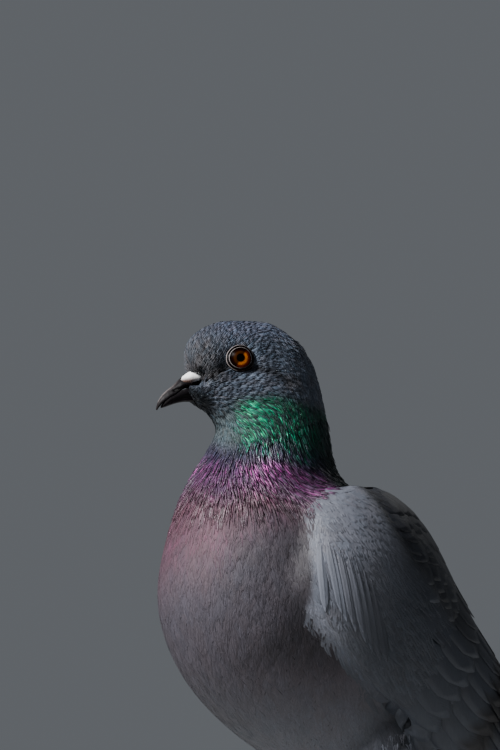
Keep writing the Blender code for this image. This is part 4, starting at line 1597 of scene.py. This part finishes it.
# %% Feather the tail
TAIL_OUT = (0.0, 0.66, 0.75)
TAIL_SHORTER = 3.0 * MM  # the outer feathers are shorter than the middle ones
tail_finish = plumage_material("tail_plumage", 0.5, 90.0, 0.14, fringe=0.10)


def tail_row(side, count, along, half):
    """Roots on the tail's upper or lower face, and how far each is from the middle."""
    out = Vector(TAIL_OUT) * side
    tries = []
    for rank in range(count):
        x = half * (2 * rank / (count - 1) - 1)
        base = Vector((x, *middle("tail")[1:]))
        base += Vector(TAIL_AXIS) * (TAIL_START + along - float(np.array(base) @ TAIL_AXIS))
        hit = form_tree.ray_cast(base + out * 0.04, -out)[0]
        tries.append(((np.array(hit), PARTS.index("tail")) if hit is not None else None, x / half))
    return met(tries)


def lay_tail(name, side, count, along, half, length, high, seed):
    """One fan of tail feathers, higher towards the middle.  The side is 1 above and -1 below."""
    roots, parts, places = tail_row(side, count, along, half)

    def rules(roots, each):
        return dict(
            length=np.full(len(roots), length * MM) - TAIL_SHORTER * np.abs(places),
            width=np.full(len(roots), 15 * MM), low=np.zeros(len(roots)),
            high=(high + 1.1 * (1 - np.abs(places))) * MM, arch=0.10 * MM,
            turn=places * -0.062 * side, tilt=places * -0.2 * MM * side, shade=(0.98, 1.02),
            shadow=each(0.95, 1.05), dark=0.2, tip=0.0,
        )

    lay_coat(name, "long", roots, parts, rules, tail_finish, seed, hug=False)


lay_tail("tail_feathers", 1, 12, 8 * MM, 15.0 * MM, 92, 0.15, 51)
lay_tail("tail_feathers_below", -1, 8, 10 * MM, 14.5 * MM, 88, 0.10, 52)


def tail_covert_rules(roots, each):
    """Coverts over the roots of the tail."""
    return dict(
        length=each(15.0, 20.0) * MM, width=each(8.0, 10.0) * MM, low=-0.5 * MM * each(0.8, 1.2),
        high=each(1.4, 2.0) * MM, arch=0.2 * MM, shade=(0.97, 1.03), dark=0.2,
    )


def near_tail_root(points):
    """True for each tail place near its root."""
    return along_tail(points) < 16 * MM


roots, owners = choose_roots(["tail"], 4.2 * MM, 27, near_tail_root)
lay_coat("tail_coverts", "covert", roots, owners, tail_covert_rules, back_finish, 53)

# %% [markdown]
# ## The eyes
# The ball is a sphere with a slightly bulging cornea.  Its own UV map looks straight into the
# pupil, so rings on it are exact circles: a black pupil, a bright yellow-orange inner iris and a
# dark red-brown outer one.  Painted light brightens the lower rear of the iris, as light entering
# from above through the cornea would, and painted shade darkens its upper front.

# %% Make the eyeballs
PUPIL = 1.35 * MM
CORNEA_HALF = 2.6 * MM
CORNEA_BULGE = 0.05
# the way across the iris in which painted light brightens it: back and down
PAINTED_LIGHT_TOWARDS = (0.85, -0.52, 0.0)


def iris_material():
    """Rings of colour round the pupil, with painted light and shade across them, under a clear wet coat."""
    constants = {"Coat Weight": 0.004, "Coat Roughness": 0.12, "Specular IOR Level": 0.01}
    material, tree, shader = new_material("wet_eye", 0.34, constants)
    look = wire(tree, "ShaderNodeUVMap", uv_map="Iris")
    links = [(0, look.outputs["UV"]), (1, (0.5, 0.5, 0.0))]
    away = wire(tree, "ShaderNodeVectorMath", links, operation="SUBTRACT")
    length = wire(tree, "ShaderNodeVectorMath", [(0, away.outputs[0])], operation="LENGTH").outputs["Value"]
    links = [("Vector", look.outputs["UV"]), ("Scale", 38.0), ("Detail", 3.0)]
    noise = wire(tree, "ShaderNodeTexNoise", links)
    stray = maths(tree, "MULTIPLY", spread(tree, noise.outputs["Fac"], 0.3, 0.7), 0.008)
    radius = maths(tree, "ADD", length, stray)
    ramp = wire(tree, "ShaderNodeValToRGB", [("Fac", maths(tree, "MULTIPLY", radius, 2.0))])
    pupil = PUPIL / EYE_RADIUS
    rings = ((pupil - 0.01, (0.001, 0.001, 0.001)), (pupil + 0.04, (0.60, 0.15, 0.010)))
    rings += ((0.38, (0.68, 0.19, 0.014)), (0.46, (0.16, 0.018, 0.004)), (0.58, (0.050, 0.006, 0.002)))
    rings += ((0.66, (0.008, 0.004, 0.003)),)
    elements = ramp.color_ramp.elements
    while len(elements) < len(rings):
        elements.new(0.5)
    for element, (place, colour) in zip(elements, rings):
        element.position = place
        element.color = (*colour, 1.0)
    # painted light: the lower rear of the iris brighter, the upper front darker
    links = [(0, away.outputs[0]), (1, PAINTED_LIGHT_TOWARDS)]
    shine = wire(tree, "ShaderNodeVectorMath", links, operation="DOT_PRODUCT")
    gain = spread(tree, shine.outputs["Value"], 0.0, 0.15, 0.035, 1.45)
    tree.links.new(tinted(tree, ramp.outputs["Color"], gain), shader.inputs["Base Color"])
    return material


def eyeball(side, material):
    """A ball with a bulging cornea, looking out of the side of the head."""
    back, up, out, centre = eye_frame(SIDES[side])
    form = bmesh.new()
    bmesh.ops.create_uvsphere(form, u_segments=72, v_segments=48, radius=EYE_RADIUS)
    look = form.loops.layers.uv.new("Iris")
    for face in form.faces:
        for loop in face.loops:
            x, y, _z = loop.vert.co / EYE_RADIUS / 2
            loop[look].uv = (x + 0.5, y + 0.5)
    for vert in form.verts:
        x, y, z = vert.co
        bulge = 1 + CORNEA_BULGE * math.exp(-((x * x + y * y) / CORNEA_HALF**2)) * (z > 0)
        vert.co = centre + (back * x + up * y + out * z) * bulge
    bmesh.ops.recalc_face_normals(form, faces=form.faces)
    mesh = made_mesh("eyeball_" + side, form)
    mesh.shade_smooth()
    add_piece("eyeball_" + side, mesh, material, ["eye_" + side])


iris = iris_material()
for side in SIDES:
    eyeball(side, iris)

# %% [markdown]
# ## The lids
# Two pale rings of bare skin hold the eye, with a dark furrow between them and a dark rim
# against the ball.  Their crests are painted palest at the front, where the light falls, and
# darker towards the rear.  Each lid is a wavy profile spun round the eye's own direction and
# closed behind, so it is a solid ring that sits on the ball.

# %% Make the lids
# Each point: distance from the eye's line of sight, height over the ball, and how pale it is.
LID_PROFILE = (
    (4.98, -0.30, 0.0), (4.92, -0.05, 0.0), (4.86, 0.16, 0.0), (4.80, 0.28, 0.9), (4.69, 0.32, 1.0),
    (4.62, 0.20, 0.0), (4.50, -0.02, 0.0), (4.20, -0.08, 0.0), (3.98, 0.00, 0.0), (3.92, 0.22, 0.0),
    (3.86, 0.32, 1.0), (3.75, 0.30, 0.9), (3.68, 0.12, 0.0), (3.64, 0.00, 0.0), (3.70, -0.30, 0.0),
    (4.60, -0.45, 0.0), (4.94, -0.50, 0.0),
)
LID_DARK = np.array((0.004, 0.003, 0.004))
LID_PALE = np.array((0.300, 0.255, 0.250))
LID_FOLD = 0.05 * MM
LID_LOWER = 0.92  # the lower half of the rings is flatter
LID_CORNER = 0.05  # and their corners are drawn out
# painted light: the angle round the eye where the lids are palest
PAINTED_LIGHT_ANGLE = 1.17  # where round the eye the lids are palest


def lid(name, sign):
    """A ring of folded bare skin round the eye."""
    back, up, out, centre = eye_frame(sign)
    form = bmesh.new()
    pale_of = form.verts.layers.float.new("pale")
    profile = []
    for far, raised, pale in LID_PROFILE:
        reach = EYE_RADIUS + raised * MM
        vert = form.verts.new((far * MM, 0.0, math.sqrt(max(reach**2 - (far * MM) ** 2, 1e-8))))
        vert[pale_of] = pale
        profile.append(vert)
    edges = [form.edges.new((a, b)) for a, b in zip(profile, profile[1:] + profile[:1])]
    bmesh.ops.spin(
        form, geom=profile + edges, cent=(0, 0, 0), axis=(0, 0, 1), angle=math.tau, steps=96, use_merge=True
    )
    bmesh.ops.remove_doubles(form, verts=form.verts, dist=1e-7)
    colours = []
    for vert in form.verts:
        x, y, z = vert.co
        angle = math.atan2(y, x)
        corner = math.exp(-(((angle + 0.55) / 0.42) ** 2))
        corner += 0.6 * math.exp(-(((abs(angle) - 2.9) / 0.4) ** 2))
        fold = LID_FOLD * math.sin(angle * 23) * math.sin(angle * 9 + z / MM * 5)
        height = y * (1.0 if y > 0 else LID_LOWER)
        vert.co = centre + back * (x * (1 + LID_CORNER * corner)) + up * height + out * (z + fold)
        # painted light: the crests palest towards the front, where the light falls
        pale = vert[pale_of] * max(0.42 + 0.58 * math.sin(angle - PAINTED_LIGHT_ANGLE), 0.02)
        colours.append(LID_DARK + (LID_PALE - LID_DARK) * pale)
    bmesh.ops.recalc_face_normals(form, faces=form.faces)
    mesh = made_mesh(name, form)
    set_colour(mesh, "Tint", np.array(colours))
    mesh.shade_smooth()
    add_piece(name, mesh, lid_finish)


for side, sign in SIDES.items():
    lid("lid_" + side, sign)
print("eyes and lids made")

# %% [markdown]
# ## The bill and the cere
# A bird's bill is bone under a horn sheath.  The solids have its curves but also facets, so
# each is remeshed finely and smoothed.  The nostril is a slit under the cere, pressed into the
# horn and painted dark as shade in it.  The ridge near the tip gets a painted highlight, and both
# halves a faint one towards the tip.  The root is drawn back under the face, the tip is blunt, and
# the lower half is raised until the bill is shut.  The cere is soft, chalky white and granular,
# longer and fuller than its solid, and its lower front edge is warm brown.

# %% Make the bill and the cere
HORN = np.array((0.005, 0.004, 0.005))
# the horn's painted highlight, on the ridge and towards the tip
HORN_HIGHLIGHT = np.array((0.120, 0.105, 0.105))
CERE_WHITE = np.array((0.80, 0.80, 0.80))
CERE_WARM = np.array((0.09, 0.045, 0.032))
CERE_BACK = 3.8 * MM
CERE_DOWN = -0.7 * MM
CERE_GROWN = 1.50
CERE_LONGER = 0.32
CERE_TILT = 0.28
BILL_ROOT = (17.5 * MM, 14.0 * MM)
BILL_LONGER = 4.5 * MM
BILL_BLUNT = 0.7 * MM
BLUNT_FROM = 9 * MM
ROOT_NARROWER = 0.12
BILL_SHUT = 0.9 * MM
BILL_RIDGE = (22.5 * MM, 18.0 * MM)
BILL_HIGHER = 1.5 * MM
GAPE_LEVEL = -12.5 * MM
NOSTRIL = ((21.7, -10.1), (17.0, -8.9))
NOSTRIL_HALF = 0.55 * MM
NOSTRIL_DEPTH = 0.35 * MM
RIPPLE = 0.05 * MM


def reach_of(node):
    """How far a solid reaches in front of the eyes."""
    return max(float((vert.co - head_middle).dot(head_front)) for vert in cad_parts[node].data.vertices)


bill_tip_reach = reach_of("bill_upper")
cere_middle = middle("cere") - head_front * CERE_BACK - UP * CERE_DOWN
cere_front = reach_of("cere") - CERE_BACK
print("bill reaches, mm:", round(bill_tip_reach / MM, 1), "cere reaches:", round(cere_front / MM, 1))


def refined(name, nodes, voxel, passes, change, material):
    """A fine smooth piece made of some solids, with its points and colours changed."""
    mesh = voxel_mesh(name, nodes, 0.0, voxel)
    points, _ends = smoothed(mesh, passes)
    normals = mesh_normals(mesh, points)
    points, colours = change(points, normals)
    write_points(mesh, points)
    mesh.name = name
    set_colour(mesh, "Tint", colours)
    mesh.shade_smooth()
    add_piece(name, mesh, material, nodes)
    print(name + ":", len(mesh.polygons), "faces")


def longer_root(points):
    """Draw the root of the bill back into the notch of the face."""
    front, _above, side = head_places(points)
    weight = step(front, *BILL_ROOT)
    blunt = step(front, bill_tip_reach - BLUNT_FROM, bill_tip_reach)
    points = points - np.outer(weight * BILL_LONGER + blunt * BILL_BLUNT, head_front)
    return points - np.outer(side * weight * ROOT_NARROWER, head_left)


def shape_upper_bill(points, normals):
    """Raise the ridge under the cere, press in the nostrils and paint shade in them, and paint a highlight on
    the ridge near the tip.
    """
    points = longer_root(points)
    front, above, side = head_places(points)
    higher = step(front, *BILL_RIDGE) * step(above, GAPE_LEVEL, GAPE_LEVEL + 4 * MM)
    points[:, 2] += BILL_HIGHER * higher
    front, above, side = head_places(points)
    nostril = np.exp(-((near_line(front, above, NOSTRIL) / NOSTRIL_HALF) ** 2))
    nostril *= mm_step(np.abs(side), 0.4, 1.4)
    points = points - normals * (nostril * NOSTRIL_DEPTH)[:, None]
    to_tip = step(front, bill_tip_reach - 10 * MM, bill_tip_reach - 4 * MM)
    # painted highlight where the ridge faces up and forward near the tip
    ridge = step(normals[:, 2] + 0.8 * (normals @ np.array(head_front)), 0.95, 1.2) * to_tip
    pale = 0.8 * ridge + 0.06 * step(front, bill_tip_reach - 7 * MM, bill_tip_reach)
    colours = blend(HORN, HORN_HIGHLIGHT, np.clip(pale, 0.0, 1.0))
    # painted shade in the nostril
    return points, blend(colours, HORN * 0.1, np.clip(nostril * 2.0, 0.0, 1.0))


def shape_lower_bill(points, normals):
    """Raise the upper side until the bill is shut, and give the colour of dark horn with a faint painted
    highlight towards the tip.
    """
    points = longer_root(points)
    front, _above, _side = head_places(points)
    behind_tip = step(front, bill_tip_reach - 1 * MM, bill_tip_reach - 5 * MM)
    points[:, 2] += BILL_SHUT * step(normals[:, 2], 0.1, 0.6) * behind_tip
    return points, blend(HORN, HORN_HIGHLIGHT, 0.06 * step(front, bill_tip_reach - 10 * MM, bill_tip_reach))


def shape_cere(points, normals):
    """Warm at the front lower edge, white above."""
    points = (points - np.array(middle("cere"))) * CERE_GROWN
    points = points + np.outer(CERE_LONGER * (points @ np.array(head_front)), head_front)
    points[:, 2] -= CERE_TILT * (points @ np.array(head_front))
    points = points + np.array(cere_middle)
    front, above, _side = head_places(points)
    level = above - (cere_middle.z - head_middle.z)
    forward = step(front, cere_front - 3.2 * MM, cere_front - 0.3 * MM)
    below = mm_step(level, -0.3, -2.2)
    warm = below * (0.45 + 0.55 * forward) * step(front, cere_front - 9 * MM, cere_front - 4 * MM)
    ripple = np.sin(points @ np.array((2600.0, 900.0, 1700.0)))
    ripple = ripple * np.sin(points @ np.array((-1300.0, 2100.0, 2500.0)))
    points = points + normals * (RIPPLE * ripple)[:, None]
    return points, blend(CERE_WHITE, CERE_WARM, warm)


refined("bill_upper_horn", ["bill_upper"], 0.22 * MM, 14, shape_upper_bill, horn_finish)
refined("bill_lower_horn", ["bill_lower"], 0.22 * MM, 12, shape_lower_bill, horn_finish)
refined("cere_skin", ["cere"], 0.20 * MM, 10, shape_cere, cere_finish)

# %% [markdown]
# ## Feet
# Below the feathered thighs the legs are bare and covered with horny scales that overlap
# downwards and towards the claws.  They are laid in the same way as the feathers, as small
# thick plates, except under the toes.  The claws are curved horn.

# %% Lay the scales and make the claws
CLAW = np.array((0.030, 0.026, 0.026))
SOLE_TOP = 1.6 * MM


def scale_rules(roots, each):
    """Broad plates on the front of the leg and on the toes."""
    return dict(
        length=each(2.1, 2.6) * MM, width=each(2.2, 2.8) * MM, low=-0.16 * MM * each(0.8, 1.2),
        high=each(0.06, 0.14) * MM, arch=0.05 * MM, turn=each(-0.06, 0.06), shade=(0.95, 1.05),
        shadow=each(0.8, 1.15), dark=0.35, tip=0.12, hue=each(-0.04, 0.04),
    )


def above_sole(points):
    """True for each place that does not touch the ground."""
    return points[:, 2] > SOLE_TOP


roots, owners = choose_roots(["shank", "foot", "toe"], 1.55 * MM, 28, above_sole)
lay_coat("leg_scales", "scale", roots, owners, scale_rules, leg_finish, 61)


def shape_claws(points, normals):
    """Plain dark horn."""
    return points, CLAW


claws = ["_".join(("claw", toe, side)) for side in SIDES for toe in TOES]
refined("claws", claws, 0.25 * MM, 6, shape_claws, claw_finish)

# %% [markdown]
# ## Sizes and triangles
# The finished bird may stand only a little proud of the solid model, because feathers are thin.
# The triangles of all the coats are counted.

# %% Count the coats' triangles and finish
print("coat triangles in all:", sum(coat_triangles.values()))
